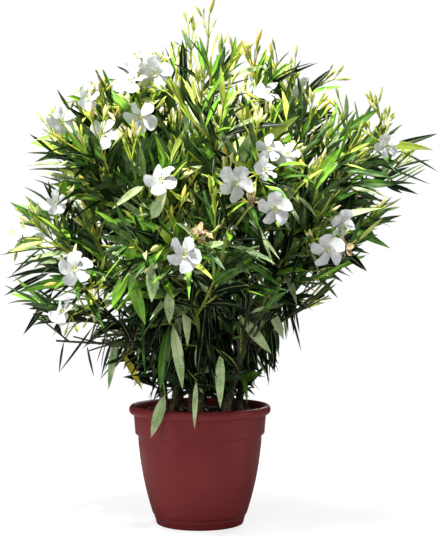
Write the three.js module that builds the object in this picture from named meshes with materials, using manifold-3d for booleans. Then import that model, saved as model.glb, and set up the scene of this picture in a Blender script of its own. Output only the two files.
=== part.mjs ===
// A white-flowered oleander in a plastic pot, in millimetres, +Z up.
// The origin is the centre of the pot's flat underside. +X is the plant's right and -Y its front.
//
// Stems rise from the soil, each to one mass of foliage, and boughs fork off them to the others.
// A mass is a leader shoot with side shoots. Every shoot carries whorls of three leaves and ends
// in a flower cluster, a cluster of buds or a tuft of young leaves.
import * as THREE from "three";
import { mergeVertices } from "three/addons/utils/BufferGeometryUtils.js";
import Module from "manifold-3d";

// ---------------------------------------------------------------- driving dimensions

const POT = {
  height: 200,
  footRadius: 74,
  footHeight: 16, // the plain ring that the pot stands on
  footSetback: 1.2, // how far that ring stands in from the wall above it
  bowlHeight: 150, // where the swelling wall meets the band
  bowlRadius: 104.5,
  bowlCurve: 1.7, // 1 would be a straight cone, more swells the wall
  bandFoot: 158,
  bandFootRadius: 109.5,
  bandHead: 183,
  bandHeadRadius: 112,
  lipRadius: 120, // the rolled lip, which is the pot's widest
  lipHeight: 16,
  wall: 3,
  floor: 4,
};
const SOIL_TOP = 187;
const GAP = 0.3; // left between solids that touch
const ROUND_SIDES = 30; // facets round the pot

const STEM_FOOT_RADIUS = 6.5;
const STEM_TIP_RADIUS = 3.6;
const BOUGH_FOOT_RADIUS = 4.2;
const FLARE = 1.4; // how much wider a stem is where it leaves the soil
const FLARE_HEIGHT = 18;
const STEM_SUNK = 4; // how far a stem is drawn below the soil before its foot is cut flat
const LIMB_SIDES = 6;
const LIMB_STEPS = 6;

const TWIG_RADIUS = 2.9; // of the three-sided twig at its foot
const TWIG_TIP_RADIUS = 1.8;
const LEAF_LENGTH = 140;
const LEAF_WIDTH = 29;
const LEAF_THICKNESS = 0.015; // as a share of the leaf's length
const WHORL_SPACING = 54;
const WHORL_LEAVES = 3;
const FLOWER_RADIUS = 26;
const FLOWER_STALK = 34;
const BUD_LENGTH = 42;
const BUD_RADIUS = 2.6;

const SPACE_MARGIN = 2; // how much nearer a mass's own leader a leaf lies than any other's
const LIMB_CLEARANCE = 0.8;
const POT_CLEARANCE = 6;
const SHORTEST_EDGE = 0.02; // a shorter one, left by the fusing, is closed up
const ROOT_OVERLAP = 0.2; // in cubic millimetres, where leaves of a whorl meet
const GOLDEN_ANGLE = THREE.MathUtils.degToRad(137.5);

const COLOURS = {
  pot: 0x7d3436,
  soil: 0x1d1713,
  bark: 0x6b6648,
  greenBark: 0x76803f,
  foliage: 0x3f6a2c,
};

// Each stem's foot on the soil: its bearing round the pot's axis, in degrees from +X towards the
// back, and its distance from that axis. `lean` is the share of the way out that its knee stands at.
const STEMS = {
  left: { bearing: 184, out: 58, lean: 0.22 },
  front_left: { bearing: 222, out: 57, lean: 0.4 },
  front: { bearing: 268, out: 52, lean: 0.2 },
  front_right: { bearing: 318, out: 58, lean: 0.2 },
  right: { bearing: 4, out: 62, lean: 0.2 },
  centre: { bearing: 160, out: 12, lean: 0.2 },
  back_right: { bearing: 50, out: 56, lean: 0.2 },
  back_left: { bearing: 128, out: 54, lean: 0.2 },
};

// Each mass of foliage: the stem that carries it, the share of that stem at which its bough forks
// off (none for the mass at the stem's own tip), then where its leader ends: bearing, distance out
// and height. `girth` is the radius of the space it keeps to, `droop` how far its leaves hang, from
// 0 to 1, `shoots` how many side shoots it has, `buds` how many buds stand at each shoot's tip, and
// `blooms` how many of its shoots carry an open flower.
const MASSES = {
  crown_spire: {
    stem: "front_left", bearing: 290, out: 42, height: 812,
    girth: 75, droop: 0, shoots: 4, buds: 3, blooms: 0,
  },
  crown_left: {
    stem: "centre", bearing: 188, out: 112, height: 728,
    girth: 120, droop: 0.1, shoots: 5, buds: 1, blooms: 4,
  },
  crown_right: {
    stem: "back_right", bearing: 6, out: 160, height: 725,
    girth: 130, droop: 0.1, shoots: 5, buds: 2, blooms: 1,
  },
  crown_back: {
    stem: "centre", fork: 0.5, bearing: 86, out: 140, height: 690,
    girth: 140, droop: 0.15, shoots: 4, buds: 1, blooms: 1,
  },
  left_shoulder: {
    stem: "left", bearing: 184, out: 182, height: 682,
    girth: 130, droop: 0.15, shoots: 5, buds: 1, blooms: 3,
  },
  left_outer: {
    stem: "left", fork: 0.5, bearing: 188, out: 238, height: 484,
    girth: 125, droop: 0.4, shoots: 5, buds: 1, blooms: 2,
  },
  left_low: {
    stem: "left", fork: 0.3, bearing: 204, out: 205, height: 398,
    girth: 130, droop: 0.7, shoots: 4, buds: 0, blooms: 2,
  },
  front_left: {
    stem: "front_left", fork: 0.5, bearing: 234, out: 180, height: 600,
    girth: 140, droop: 0.2, shoots: 5, buds: 1, blooms: 1,
  },
  front_middle: {
    stem: "front", bearing: 296, out: 170, height: 625,
    girth: 140, droop: 0.25, shoots: 5, buds: 1, blooms: 3,
  },
  front_low: {
    stem: "front", fork: 0.45, bearing: 262, out: 195, height: 465,
    girth: 143, droop: 0.5, shoots: 5, buds: 0, blooms: 2,
  },
  right_shoulder: {
    stem: "right", bearing: 2, out: 294, height: 650,
    girth: 130, droop: 0.15, shoots: 5, buds: 2, blooms: 1,
  },
  right_middle: {
    stem: "front_right", bearing: 334, out: 212, height: 505,
    girth: 123, droop: 0.3, shoots: 5, buds: 0, blooms: 2,
  },
  right_low: {
    stem: "right", fork: 0.4, bearing: 350, out: 150, height: 402,
    girth: 130, droop: 0.6, shoots: 4, buds: 0, blooms: 0,
  },
  back_right: {
    stem: "back_right", fork: 0.45, bearing: 48, out: 220, height: 580,
    girth: 140, droop: 0.3, shoots: 4, buds: 0, blooms: 2,
  },
  back_left: {
    stem: "back_left", bearing: 130, out: 225, height: 590,
    girth: 140, droop: 0.3, shoots: 4, buds: 0, blooms: 2,
  },
  back_low: {
    stem: "back_left", fork: 0.4, bearing: 95, out: 200, height: 410,
    girth: 135, droop: 0.6, shoots: 4, buds: 0, blooms: 0,
  },
  skirt_left: {
    stem: "front_left", fork: 0.24, bearing: 218, out: 128, height: 338,
    girth: 150, droop: 0.9, shoots: 5, buds: 0, blooms: 0,
  },
  skirt_right: {
    stem: "front_right", fork: 0.3, bearing: 308, out: 112, height: 352,
    girth: 150, droop: 0.9, shoots: 5, buds: 0, blooms: 0,
  },
};

// ---------------------------------------------------------------- small helpers

const UP = new THREE.Vector3(0, 0, 1);
const { lerp, degToRad } = THREE.MathUtils;
const wasm = await Module();
wasm.setup();

// A seeded source of numbers from 0 to 1 (mulberry32), so that every build grows the same plant.
function randomFrom(seed) {
  let state = seed | 0;
  return () => {
    state = (state + 0x6d2b79f5) | 0;
    let t = Math.imul(state ^ (state >>> 15), 1 | state);
    t = (t + Math.imul(t ^ (t >>> 7), 61 | t)) ^ t;
    return ((t ^ (t >>> 14)) >>> 0) / 4294967296;
  };
}

function polar(bearingDegrees, out, height) {
  const angle = degToRad(bearingDegrees);
  return new THREE.Vector3(out * Math.cos(angle), out * Math.sin(angle), height);
}

function along(point, direction, distance) {
  return point.clone().addScaledVector(direction, distance);
}

// Any vector at right angles to `axis`.
function acrossOf(axis) {
  const reference = Math.abs(axis.z) < 0.9 ? UP : new THREE.Vector3(1, 0, 0);
  return reference.clone().cross(axis);
}

// A unit vector at right angles to `axis`, `angle` radians round it from the side where `across` is.
function sideOf(axis, angle, across = acrossOf(axis)) {
  const start = across.clone().addScaledVector(axis, -across.dot(axis)).normalize();
  return start.applyAxisAngle(axis, angle);
}

// `axis` tilted by `tilt` radians towards the side at `angle`.
function tilted(axis, angle, tilt, across) {
  const side = sideOf(axis, angle, across);
  return axis.clone().multiplyScalar(Math.cos(tilt)).addScaledVector(side, Math.sin(tilt));
}

function closedGeometry(points, triangles) {
  const geometry = new THREE.BufferGeometry().setFromPoints(points);
  return geometry.setIndex(triangles);
}

function toSolid(geometry) {
  const plain = geometry.clone().deleteAttribute("normal").deleteAttribute("uv");
  const merged = mergeVertices(plain, 1e-4);
  return new wasm.Manifold(
    new wasm.Mesh({
      numProp: 3,
      vertProperties: merged.attributes.position.array,
      triVerts: new Uint32Array(merged.index.array),
    }),
  );
}

function toMesh(name, solid, colour, roughness) {
  const { vertProperties, numProp, triVerts } = solid.getMesh();
  const points = [];
  for (let i = 0; i < vertProperties.length; i += numProp) {
    points.push(new THREE.Vector3(...vertProperties.subarray(i, i + 3)));
  }
  const geometry = closedGeometry(points, [...triVerts]);
  geometry.computeVertexNormals();
  const material = new THREE.MeshStandardMaterial({ color: colour, roughness, metalness: 0 });
  const mesh = new THREE.Mesh(geometry, material);
  mesh.name = name;
  return mesh;
}

// A closed tube of `sides` sides along a curve, through stations of [share along it, radius].
// A radius of 0 at an end brings the tube to a point there.
function tube(curve, stations, sides) {
  const points = [];
  const rings = [];
  const across = acrossOf(curve.getTangentAt(0));
  for (const [share, radius] of stations) {
    const ring = [];
    for (let k = 0; k < (radius > 0 ? sides : 1); k++) {
      const spoke = sideOf(curve.getTangentAt(share), (2 * Math.PI * k) / sides, across);
      ring.push(points.push(along(curve.getPointAt(share), spoke, radius)) - 1);
    }
    rings.push(ring);
  }
  const triangles = [];
  for (let i = 1; i < rings.length; i++) {
    const [from, to] = [rings[i - 1], rings[i]];
    for (let k = 0; k < sides; k++) {
      const next = (k + 1) % sides;
      if (from.length > 1) {
        triangles.push(from[k], from[next], to[next % to.length]);
      }
      if (to.length > 1) {
        triangles.push(from[k % from.length], to[next], to[k]);
      }
    }
  }
  const [first, last] = [rings[0], rings[rings.length - 1]];
  for (let k = 1; k < sides - 1; k++) {
    if (first.length > 1) {
      triangles.push(first[0], first[k + 1], first[k]);
    }
    if (last.length > 1) {
      triangles.push(last[0], last[k], last[k + 1]);
    }
  }
  return closedGeometry(points, triangles);
}

// The stretch of a quadratic curve between two shares of it, as a curve of its own.
function stretch(curve, from, to = 1) {
  // The new knee, where the two end tangents meet, is a blend of the curve's own three points.
  const knee = curve.v0.clone().multiplyScalar((1 - from) * (1 - to));
  knee.addScaledVector(curve.v1, from * (1 - to) + to * (1 - from));
  knee.addScaledVector(curve.v2, from * to);
  return new THREE.QuadraticBezierCurve3(curve.getPoint(from), knee, curve.getPoint(to));
}

// ---------------------------------------------------------------- pot and soil

// The wall's outer radius at a height between the foot ring and the band.
function bowlRadiusAt(height) {
  const share = 1 - height / POT.bowlHeight;
  return POT.bowlRadius - (POT.bowlRadius - POT.footRadius) * share ** POT.bowlCurve;
}

function lathe(profile) {
  const geometry = new THREE.LatheGeometry(profile.map(([r, z]) => new THREE.Vector2(r, z)), ROUND_SIDES);
  return toSolid(geometry.rotateX(Math.PI / 2));
}

// The pot's inner profile from the floor up, taken in by `inset`.
function innerProfile(inset) {
  const wall = POT.wall + inset;
  const heights = [45, 100, POT.bowlHeight - 2];
  return [
    [0, POT.floor + inset],
    [bowlRadiusAt(POT.floor) - wall, POT.floor + inset],
    ...heights.map((z) => [bowlRadiusAt(z) - wall, z]),
    [POT.bandFootRadius - wall, POT.bandFoot + 4],
  ];
}

function potSolid() {
  const lipMiddle = POT.height - POT.lipHeight / 2;
  const lipRoll = (POT.lipRadius - POT.bandHeadRadius + POT.wall) / 2;
  const lip = [-70, -20, 20, 60, 100, 140].map((degrees) => [
    POT.lipRadius - lipRoll + lipRoll * Math.cos(degToRad(degrees)),
    lipMiddle + (POT.lipHeight / 2) * Math.sin(degToRad(degrees)),
  ]);
  const outer = [
    [0, 0],
    [POT.footRadius - 2, 0],
    [POT.footRadius, 1.5],
    [bowlRadiusAt(POT.footHeight) - POT.footSetback, POT.footHeight],
    [bowlRadiusAt(POT.footHeight), POT.footHeight + 1],
    ...[45, 80, 115, POT.bowlHeight].map((z) => [bowlRadiusAt(z), z]),
    [POT.bandFootRadius, POT.bandFoot],
    [POT.bandHeadRadius, POT.bandHead],
  ];
  return lathe([...outer, ...lip, ...innerProfile(0).reverse()]);
}

function soilSolid() {
  const top = [
    [POT.bandFootRadius - POT.wall - GAP, SOIL_TOP],
    [0, SOIL_TOP],
  ];
  return lathe([...innerProfile(GAP), ...top]);
}

// ---------------------------------------------------------------- stems and boughs

function stemCurve(stem, tip) {
  const foot = polar(stem.bearing, stem.out, SOIL_TOP - STEM_SUNK);
  const knee = foot.clone().lerp(tip, stem.lean);
  knee.z = lerp(foot.z, tip.z, 0.55);
  return new THREE.QuadraticBezierCurve3(foot, knee, tip);
}

// A bough leaves its stem at about 35 degrees and bends over towards its tip.
function boughCurve(stem, fork, tip) {
  const foot = stem.getPoint(fork);
  const reach = tip.distanceTo(foot);
  const outward = tip.clone().sub(foot).setZ(0).normalize();
  const direction = stem.getTangent(fork).multiplyScalar(0.8).addScaledVector(outward, 0.6);
  direction.normalize();
  return new THREE.QuadraticBezierCurve3(foot, along(foot, direction, 0.42 * reach), tip);
}

// A limb ends where its mass begins, at this share of the way to the mass's tip.
const STEM_SHARE = 0.46;
const BOUGH_SHARE = 0.3;

function stemRadiusAt(curve) {
  const length = curve.getLength();
  return (share) => {
    const flare = 1 + (FLARE - 1) * Math.exp(-(share * length) / FLARE_HEIGHT);
    return lerp(STEM_FOOT_RADIUS, STEM_TIP_RADIUS, share) * flare;
  };
}

function limbSolid(curve, radiusAt, extra = 0) {
  const shares = Array.from({ length: LIMB_STEPS + 1 }, (_, i) => (i / LIMB_STEPS) ** 1.3);
  return toSolid(tube(curve, shares.map((share) => [share, radiusAt(share) + extra]), LIMB_SIDES));
}

// The flat cut at the soil: what lies under it is taken off.
function cutAtSoil(solid) {
  const slab = new THREE.BoxGeometry(400, 400, 40).translate(0, 0, SOIL_TOP + GAP - 20);
  return solid.subtract(toSolid(slab));
}

// The skeleton: every mass's whole path, the limb that carries it and the leader that runs on in it.
function growSkeleton() {
  const masses = Object.entries(MASSES).map(([name, mass], index) => {
    return { ...mass, name, index, tip: polar(mass.bearing, mass.out, mass.height) };
  });
  const limbs = [];
  const stemPaths = {};
  for (const mass of masses.filter((m) => m.fork === undefined)) {
    const path = stemCurve(STEMS[mass.stem], mass.tip);
    mass.limbCurve = stretch(path, 0, STEM_SHARE);
    mass.leader = stretch(path, STEM_SHARE);
    stemPaths[mass.stem] = mass.limbCurve;
    const radiusAt = stemRadiusAt(mass.limbCurve);
    limbs.push({ name: "stem_" + mass.stem, curve: mass.limbCurve, radiusAt });
  }
  for (const mass of masses.filter((m) => m.fork !== undefined)) {
    const path = boughCurve(stemPaths[mass.stem], mass.fork, mass.tip);
    mass.limbCurve = stretch(path, 0, BOUGH_SHARE);
    mass.leader = stretch(path, BOUGH_SHARE);
    const radiusAt = (share) => lerp(BOUGH_FOOT_RADIUS, STEM_TIP_RADIUS, share);
    const from = "stem_" + mass.stem;
    limbs.push({ name: "bough_" + mass.name, curve: mass.limbCurve, radiusAt, from });
  }
  return { masses, limbs };
}

function limbSolids(limbs) {
  const solids = new Map();
  for (const limb of limbs) {
    let solid = limbSolid(limb.curve, limb.radiusAt);
    if (limb.from) {
      const carrier = limbs.find((other) => other.name === limb.from);
      solid = largestBody(solid.subtract(limbSolid(carrier.curve, carrier.radiusAt, GAP)));
    } else {
      solid = cutAtSoil(solid);
    }
    solids.set(limb.name, solid);
  }
  return solids;
}

// ---------------------------------------------------------------- leaves, buds and flowers

// A lance-shaped blade: flat above, with its midrib standing out below. It bends down along its
// length, so its flat side is always turned up.
function leafSolid(root, direction, above, size, droop) {
  const length = LEAF_LENGTH * size;
  const half = (LEAF_WIDTH / 2) * Math.sqrt(size);
  const side = direction.clone().cross(above).normalize();
  const normal = side.clone().cross(direction);
  if (normal.z < 0) {
    side.negate();
    normal.negate();
  }
  const at = (share, across, up) => {
    const point = along(along(along(root, direction, length * share), side, across), normal, up);
    point.z -= droop * length * share * share;
    return point;
  };
  const thickness = LEAF_THICKNESS * length;
  const points = [
    at(0, 0, 0),
    at(0.3, -half, 0),
    at(0.3, half, 0),
    at(0.66, -0.82 * half, 0),
    at(0.66, 0.82 * half, 0),
    at(1, 0, 0),
    at(0.18, 0, -thickness),
  ];
  const top = [0, 2, 1, 1, 2, 4, 1, 4, 3, 3, 4, 5];
  const under = [6, 0, 1, 6, 1, 3, 6, 3, 5, 6, 5, 4, 6, 4, 2, 6, 2, 0];
  return { points, solid: toSolid(closedGeometry(points, [...top, ...under])) };
}

// A closed bud on its stalk: a slim three-sided spindle.
function budSolid(root, direction, length) {
  const tip = along(root, direction, length);
  const stations = [[0, 0], [0.68, BUD_RADIUS], [1, 0]];
  return { points: [tip], solid: toSolid(tube(new THREE.LineCurve3(root, tip), stations, 3)) };
}

// An open flower: five broad petals in one shallow star, over a tube that narrows into its stalk.
function flowerSolid(root, direction, stalk) {
  const centre = along(root, direction, stalk);
  const points = [root, along(centre, direction, -1)];
  for (let k = 0; k < 3; k++) {
    points.push(along(along(centre, direction, -9), sideOf(direction, (k * 2 * Math.PI) / 3), 2));
  }
  const corners = 15; // two at each petal's end and one in the notch beside it
  for (let k = 0; k < corners; k++) {
    const notch = k % 3 === 2;
    const angle = (2 * Math.PI * (Math.floor(k / 3) + [-0.24, 0.24, 0.5][k % 3])) / 5;
    const rim = along(centre, sideOf(direction, angle), notch ? 0.42 * FLOWER_RADIUS : FLOWER_RADIUS);
    points.push(along(rim, direction, notch ? -1.5 : 2));
  }
  const triangles = [0, 3, 2, 0, 4, 3, 0, 2, 4];
  for (let k = 0; k < corners; k++) {
    const here = 5 + k;
    const next = 5 + ((k + 1) % corners);
    const neck = 2 + Math.floor(k / 5);
    triangles.push(1, here, next, neck, next, here);
    if (k % 5 === 4) {
      triangles.push(neck, 2 + ((neck - 1) % 3), next);
    }
  }
  return { points: points.slice(1), solid: toSolid(closedGeometry(points, triangles)) };
}

// ---------------------------------------------------------------- masses

function distanceToLeader(point, mass) {
  let nearest = Infinity;
  const closest = new THREE.Vector3();
  for (const segment of mass.segments) {
    segment.closestPointToPoint(point, true, closest);
    nearest = Math.min(nearest, closest.distanceTo(point));
  }
  return nearest;
}

// True where a point is in the mass's own space, above the soil and clear of the pot.
function inSpace(point, mass, masses) {
  const own = distanceToLeader(point, mass);
  const overPot = point.z > POT.height + POT_CLEARANCE;
  const besidePot = Math.hypot(point.x, point.y) > POT.lipRadius + POT_CLEARANCE;
  return (
    own < mass.girth &&
    (overPot || besidePot) &&
    masses.every((other) => other === mass || distanceToLeader(point, other) > own + SPACE_MARGIN)
  );
}

// What a mass is made of so far. A new piece of a family is added only where it keeps to the mass's
// space, clear of the limbs and of every piece but its carrier. Those of its own family, which grow
// from the same place, it meets only at their roots.
function startPlacing(mass, masses, guards) {
  const placed = [];
  const add = (solid, points, family, carrier) => {
    const overlap = { [family]: ROOT_OVERLAP, [carrier]: Infinity };
    const clears = (other, allowed = -1) => {
      const shared = solid.intersect(other);
      return shared.isEmpty() || shared.volume() <= allowed;
    };
    const fits =
      points.every((point) => inSpace(point, mass, masses)) &&
      guards.every((guard) => clears(guard)) &&
      placed.every((piece) => clears(piece.solid, overlap[piece.family]));
    if (fits) {
      placed.push({ solid, family });
    }
    return fits;
  };
  return { placed, add };
}

// The turns and sizes that a shoot or leaf is tried at before it is left out.
const SHOOT_TRIES = [
  [0, 1],
  [1, 1],
  [-1, 1],
  [2, 0.85],
  [-2, 0.85],
  [3.1, 0.7],
  [0.5, 0.6],
];
const LEAF_TRIES = [
  [0, 1],
  [0.5, 1],
  [-0.5, 1],
  [0.25, 0.85],
  [-0.25, 0.75],
  [0.8, 0.65],
];

// A leader starts as wide as its limb's tip, and a side shoot from a point inside the leader.
function twigSolid(curve, main) {
  const foot = main ? [0, TWIG_RADIUS] : [0, 0];
  const swell = main ? [0.33, lerp(TWIG_RADIUS, TWIG_TIP_RADIUS, 0.33)] : [0.07, 0.85 * TWIG_RADIUS];
  const upper = [0.6, lerp(TWIG_RADIUS, TWIG_TIP_RADIUS, 0.6)];
  return toSolid(tube(curve, [foot, swell, upper, [1, TWIG_TIP_RADIUS]], 3));
}

// The shoots of a mass: its leader, then side shoots that turn round it by the golden angle.
function growShoots(mass, add) {
  const random = randomFrom(1000 + mass.index);
  const leader = stretch(mass.leader, GAP / mass.leader.getLength());
  if (!add(twigSolid(leader, true), [], "leader")) {
    throw new Error("a limb stands in the way of the leader of " + mass.name);
  }
  const shoots = [{ curve: leader, main: true, family: "leader" }];
  for (let k = 0; k < mass.shoots; k++) {
    const start = lerp(0.03, 0.74, (k + 0.5 * random()) / mass.shoots);
    const turn = k * GOLDEN_ANGLE + 0.8 * random() + mass.index;
    const tilt = lerp(0.55, 0.85, random());
    const reach = mass.girth * lerp(0.95, 1.25, random());
    const foot = leader.getPoint(start);
    for (const [further, shorter] of SHOOT_TRIES) {
      const length = reach * shorter;
      const direction = tilted(leader.getTangent(start), turn + further, tilt);
      const tip = along(foot, direction, length);
      tip.z += lerp(0.3, -0.1, mass.droop) * length;
      const curve = new THREE.QuadraticBezierCurve3(foot, along(foot, direction, 0.5 * length), tip);
      const marks = [0.25, 0.5, 0.75, 1].map((share) => curve.getPoint(share));
      if (add(twigSolid(curve, false), marks, "shoot" + k, "leader")) {
        shoots.push({ curve, main: false, family: "shoot" + k });
        break;
      }
    }
  }
  return shoots;
}

// The whorls of leaves on one shoot, from its tip back to its foot. Older leaves stand wider and
// hang more.
function growLeaves(shoot, mass, random, add) {
  const length = shoot.curve.getLength();
  const across = acrossOf(shoot.curve.getTangentAt(0));
  const bare = shoot.main ? 14 : 24; // no leaf stands nearer the shoot's foot
  let whorl = 0;
  for (let back = 14; back < length - bare; back += WHORL_SPACING) {
    const share = 1 - back / length;
    const axis = shoot.curve.getTangentAt(share);
    const age = Math.min(1, back / 130);
    for (let k = 0; k < WHORL_LEAVES; k++) {
      // Each leaf leaves its twig through the middle of a face, and each whorl is turned from the last.
      const turned = (whorl % 2 ? 0.35 : -0.35) + 0.3 * (random() - 0.5);
      const angle = ((2 * k + 1) * Math.PI) / WHORL_LEAVES + turned;
      const tilt = lerp(0.42, 1, age) + 0.3 * (random() - 0.5);
      const size = lerp(0.6, 1, age) * lerp(0.88, 1.08, random());
      const droop = lerp(0.04, 0.3, age) + 0.45 * mass.droop * random();
      for (const [turn, smaller] of LEAF_TRIES) {
        const direction = tilted(axis, angle + turn, tilt, across);
        direction.z -= 0.9 * mass.droop * age;
        direction.normalize();
        const root = shoot.curve.getPointAt(share);
        const leaf = leafSolid(root, direction, axis, size * smaller, droop);
        if (add(leaf.solid, leaf.points.slice(1), shoot.family + "_" + whorl, shoot.family)) {
          break;
        }
      }
    }
    whorl += 1;
  }
}

// What stands at a shoot's tip: an open flower among buds, or buds alone.
function growCluster(shoot, blooms, buds, random, add) {
  const axis = shoot.curve.getTangentAt(1);
  const end = along(shoot.curve.v2, axis, -1.5);
  for (let k = 0; k < buds + (blooms ? 1 : 0); k++) {
    const direction = tilted(axis, k * GOLDEN_ANGLE + random(), lerp(0.15, 0.7, random()));
    const reach = lerp(0.85, 1.15, random());
    const open = blooms && k === 0;
    const grow = open ? flowerSolid : budSolid;
    const { solid, points } = grow(end, direction, (open ? FLOWER_STALK : BUD_LENGTH) * reach);
    add(solid, points, shoot.family + "_tip", shoot.family);
  }
}

// The largest body of a solid, with any cavity or loose scrap left out.
function largestBody(solid) {
  return solid.decompose().reduce((best, body) => (body.volume() > best.volume() ? body : best));
}

function massSolid(mass, masses, guards) {
  const random = randomFrom(5000 + mass.index);
  const { placed, add } = startPlacing(mass, masses, guards);
  growShoots(mass, add).forEach((shoot, k) => {
    growCluster(shoot, k < mass.blooms, mass.buds, random, add);
    growLeaves(shoot, mass, random, add);
  });
  const fused = wasm.Manifold.union(placed.map((piece) => piece.solid));
  return largestBody(fused.simplify(SHORTEST_EDGE));
}

// ---------------------------------------------------------------- the whole plant

function oleander() {
  const plant = new THREE.Group();
  plant.add(toMesh("pot", potSolid(), COLOURS.pot, 0.45));
  plant.add(toMesh("soil", soilSolid(), COLOURS.soil, 0.95));

  const { masses, limbs } = growSkeleton();
  for (const [name, solid] of limbSolids(limbs)) {
    const colour = name.startsWith("stem_") ? COLOURS.bark : COLOURS.greenBark;
    plant.add(toMesh(name, solid, colour, 0.85));
  }

  for (const mass of masses) {
    const points = mass.leader.getPoints(8);
    mass.segments = points.slice(1).map((point, i) => new THREE.Line3(points[i], point));
  }
  const guards = limbs.map((limb) => limbSolid(limb.curve, limb.radiusAt, LIMB_CLEARANCE));
  for (const mass of masses) {
    plant.add(toMesh("foliage_" + mass.name, massSolid(mass, masses, guards), COLOURS.foliage, 0.5));
  }
  return plant;
}

export default oleander();
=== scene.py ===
"""A white-flowered oleander in a plastic pot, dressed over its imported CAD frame.

Lengths are worked out in millimetres in the frame's own axes (+Z up, the plant's front at -Y) and
turned into metres where a mesh is made. Everything random comes from seeded generators.
"""
import math

import bpy
import numpy as np
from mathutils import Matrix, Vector


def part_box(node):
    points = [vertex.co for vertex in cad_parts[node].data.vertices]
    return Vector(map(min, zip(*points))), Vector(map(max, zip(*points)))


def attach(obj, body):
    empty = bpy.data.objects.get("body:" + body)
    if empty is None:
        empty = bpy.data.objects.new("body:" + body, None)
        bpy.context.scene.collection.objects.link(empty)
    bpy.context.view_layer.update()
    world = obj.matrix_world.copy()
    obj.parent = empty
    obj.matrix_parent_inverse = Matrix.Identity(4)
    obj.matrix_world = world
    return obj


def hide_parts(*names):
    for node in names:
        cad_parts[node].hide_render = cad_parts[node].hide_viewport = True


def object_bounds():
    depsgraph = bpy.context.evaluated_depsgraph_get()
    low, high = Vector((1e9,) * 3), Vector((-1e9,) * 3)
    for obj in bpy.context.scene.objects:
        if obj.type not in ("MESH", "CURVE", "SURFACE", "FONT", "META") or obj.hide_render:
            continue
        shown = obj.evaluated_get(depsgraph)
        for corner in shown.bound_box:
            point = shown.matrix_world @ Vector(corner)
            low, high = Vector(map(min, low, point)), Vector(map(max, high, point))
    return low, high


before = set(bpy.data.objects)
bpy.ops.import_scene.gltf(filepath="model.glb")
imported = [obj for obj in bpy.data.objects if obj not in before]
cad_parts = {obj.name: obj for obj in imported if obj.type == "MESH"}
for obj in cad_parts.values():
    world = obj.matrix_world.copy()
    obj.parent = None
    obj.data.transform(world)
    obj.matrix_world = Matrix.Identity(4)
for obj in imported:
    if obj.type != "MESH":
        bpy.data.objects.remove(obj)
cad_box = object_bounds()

MM = 0.001
TAU = 2 * math.pi
UP = np.array([0.0, 0.0, 1.0])
POT_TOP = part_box("pot")[1].z / MM
SOIL_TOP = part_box("soil")[1].z / MM
BOX_LOW, BOX_HIGH = [np.array(corner) / MM for corner in cad_box]


# ---------------------------------------------------------------- the plant's named sizes

# Millimetres, apart from shares. Radii at a limb's foot and tip, and the flare of a stem's foot.
STEM_FOOT, STEM_TIP, BOUGH_FOOT, BOUGH_TIP = 6.5, 3.6, 4.2, 3.6
FLARE, FLARE_HEIGHT, STEM_SUNK = 1.4, 18, 4
# A limb is this share of its path, and the rest is the leader of its mass.
STEM_SHARE, BOUGH_SHARE = 0.46, 0.3
STEM_KNEE_HEIGHT, BOUGH_KNEE = 0.55, 0.42
LIMB_STEP, STEM_SIDES, BOUGH_SIDES, TWIG_SIDES = 1.6, 22, 16, 7
TWIG_FOOT, TWIG_TIP = 2.9, 1.7
LEAF_LENGTH, LEAF_WIDTH, LEAF_THICKNESS, LEAF_RIB = 124, 20, 0.55, 0.9
WHORL_SPACING, WHORL_LEAVES = 25, 3
# A leaf's age, from 0 at a shoot's tip to 1 at this distance below it, and when it turns colour.
FULL_AGE_BELOW, YOUNG_AGE, OLD_AGE = 110, 0.16, 0.45
PETALS, PETAL_LENGTH, PETAL_WIDTH, PETAL_THICKNESS = 5, 24.5, 22.5, 0.35
TUBE_LENGTH, SEPAL_THICKNESS = 15, 0.5
# How near a twig, a low twig and a leaf may come to what has grown before them.
TWIG_ROOM, LOW_ROOM, LEAF_ROOM = 3.0, 2.5, 3.4
# The crown's underside rises beyond this distance from the pot's axis, and is uneven by this much.
UNDERSIDE_OUT, UNDERSIDE_LEFT, UNDERSIDE_RIGHT = 112, 0.6, 1.3
UNDERSIDE_UNEVEN, RIM_INSIDE, RIM_WIDTH, RIM_CLEAR = 24, 92, 8, 6
LOWEST_LEAVES, TALLEST_LEAVES = 212, 830
DOME_LEFT, DOME_RIGHT, DOME_WIDTH, DOME_FALL = 790, 818, 240, 0.001
SPIRE_SPREAD, SPIRE_FALL, BOX_MARGIN = 24, 1.3, 6
GOLDEN_ANGLE = math.radians(137.5)

# The pot's section: the bowl's outer radius at its top, how much it narrows, and over what height.
BOWL_TOP, BOWL_NARROWING, BOWL_HEIGHT, BOWL_CURVE = 104.5, 30.5, 150, 1.7
POT_SIDES, POT_WALL, POT_FLOOR = 160, 3, 6
SOIL_RADIUS, SOIL_ROWS, SOIL_COLUMNS, SOIL_DEPTH, SOIL_CRUMBS = 106.6, 44, 150, 16, 1500
CRUMB_SHARES = [0.62, 0.27, 0.11]

# The studio, in metres. The floor glows, and the world is white, for what the camera sees alone.
FLOOR_RADIUS, FLOOR_TONE, FLOOR_GLOW, WORLD_LIGHT = 0.9, 0.4, 0.75, 0.07
CAMERA_PLACE, CAMERA_LENS, SENSOR_WIDTH = (0.034, -2.1, 0.4295), 82.8, 36
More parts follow.
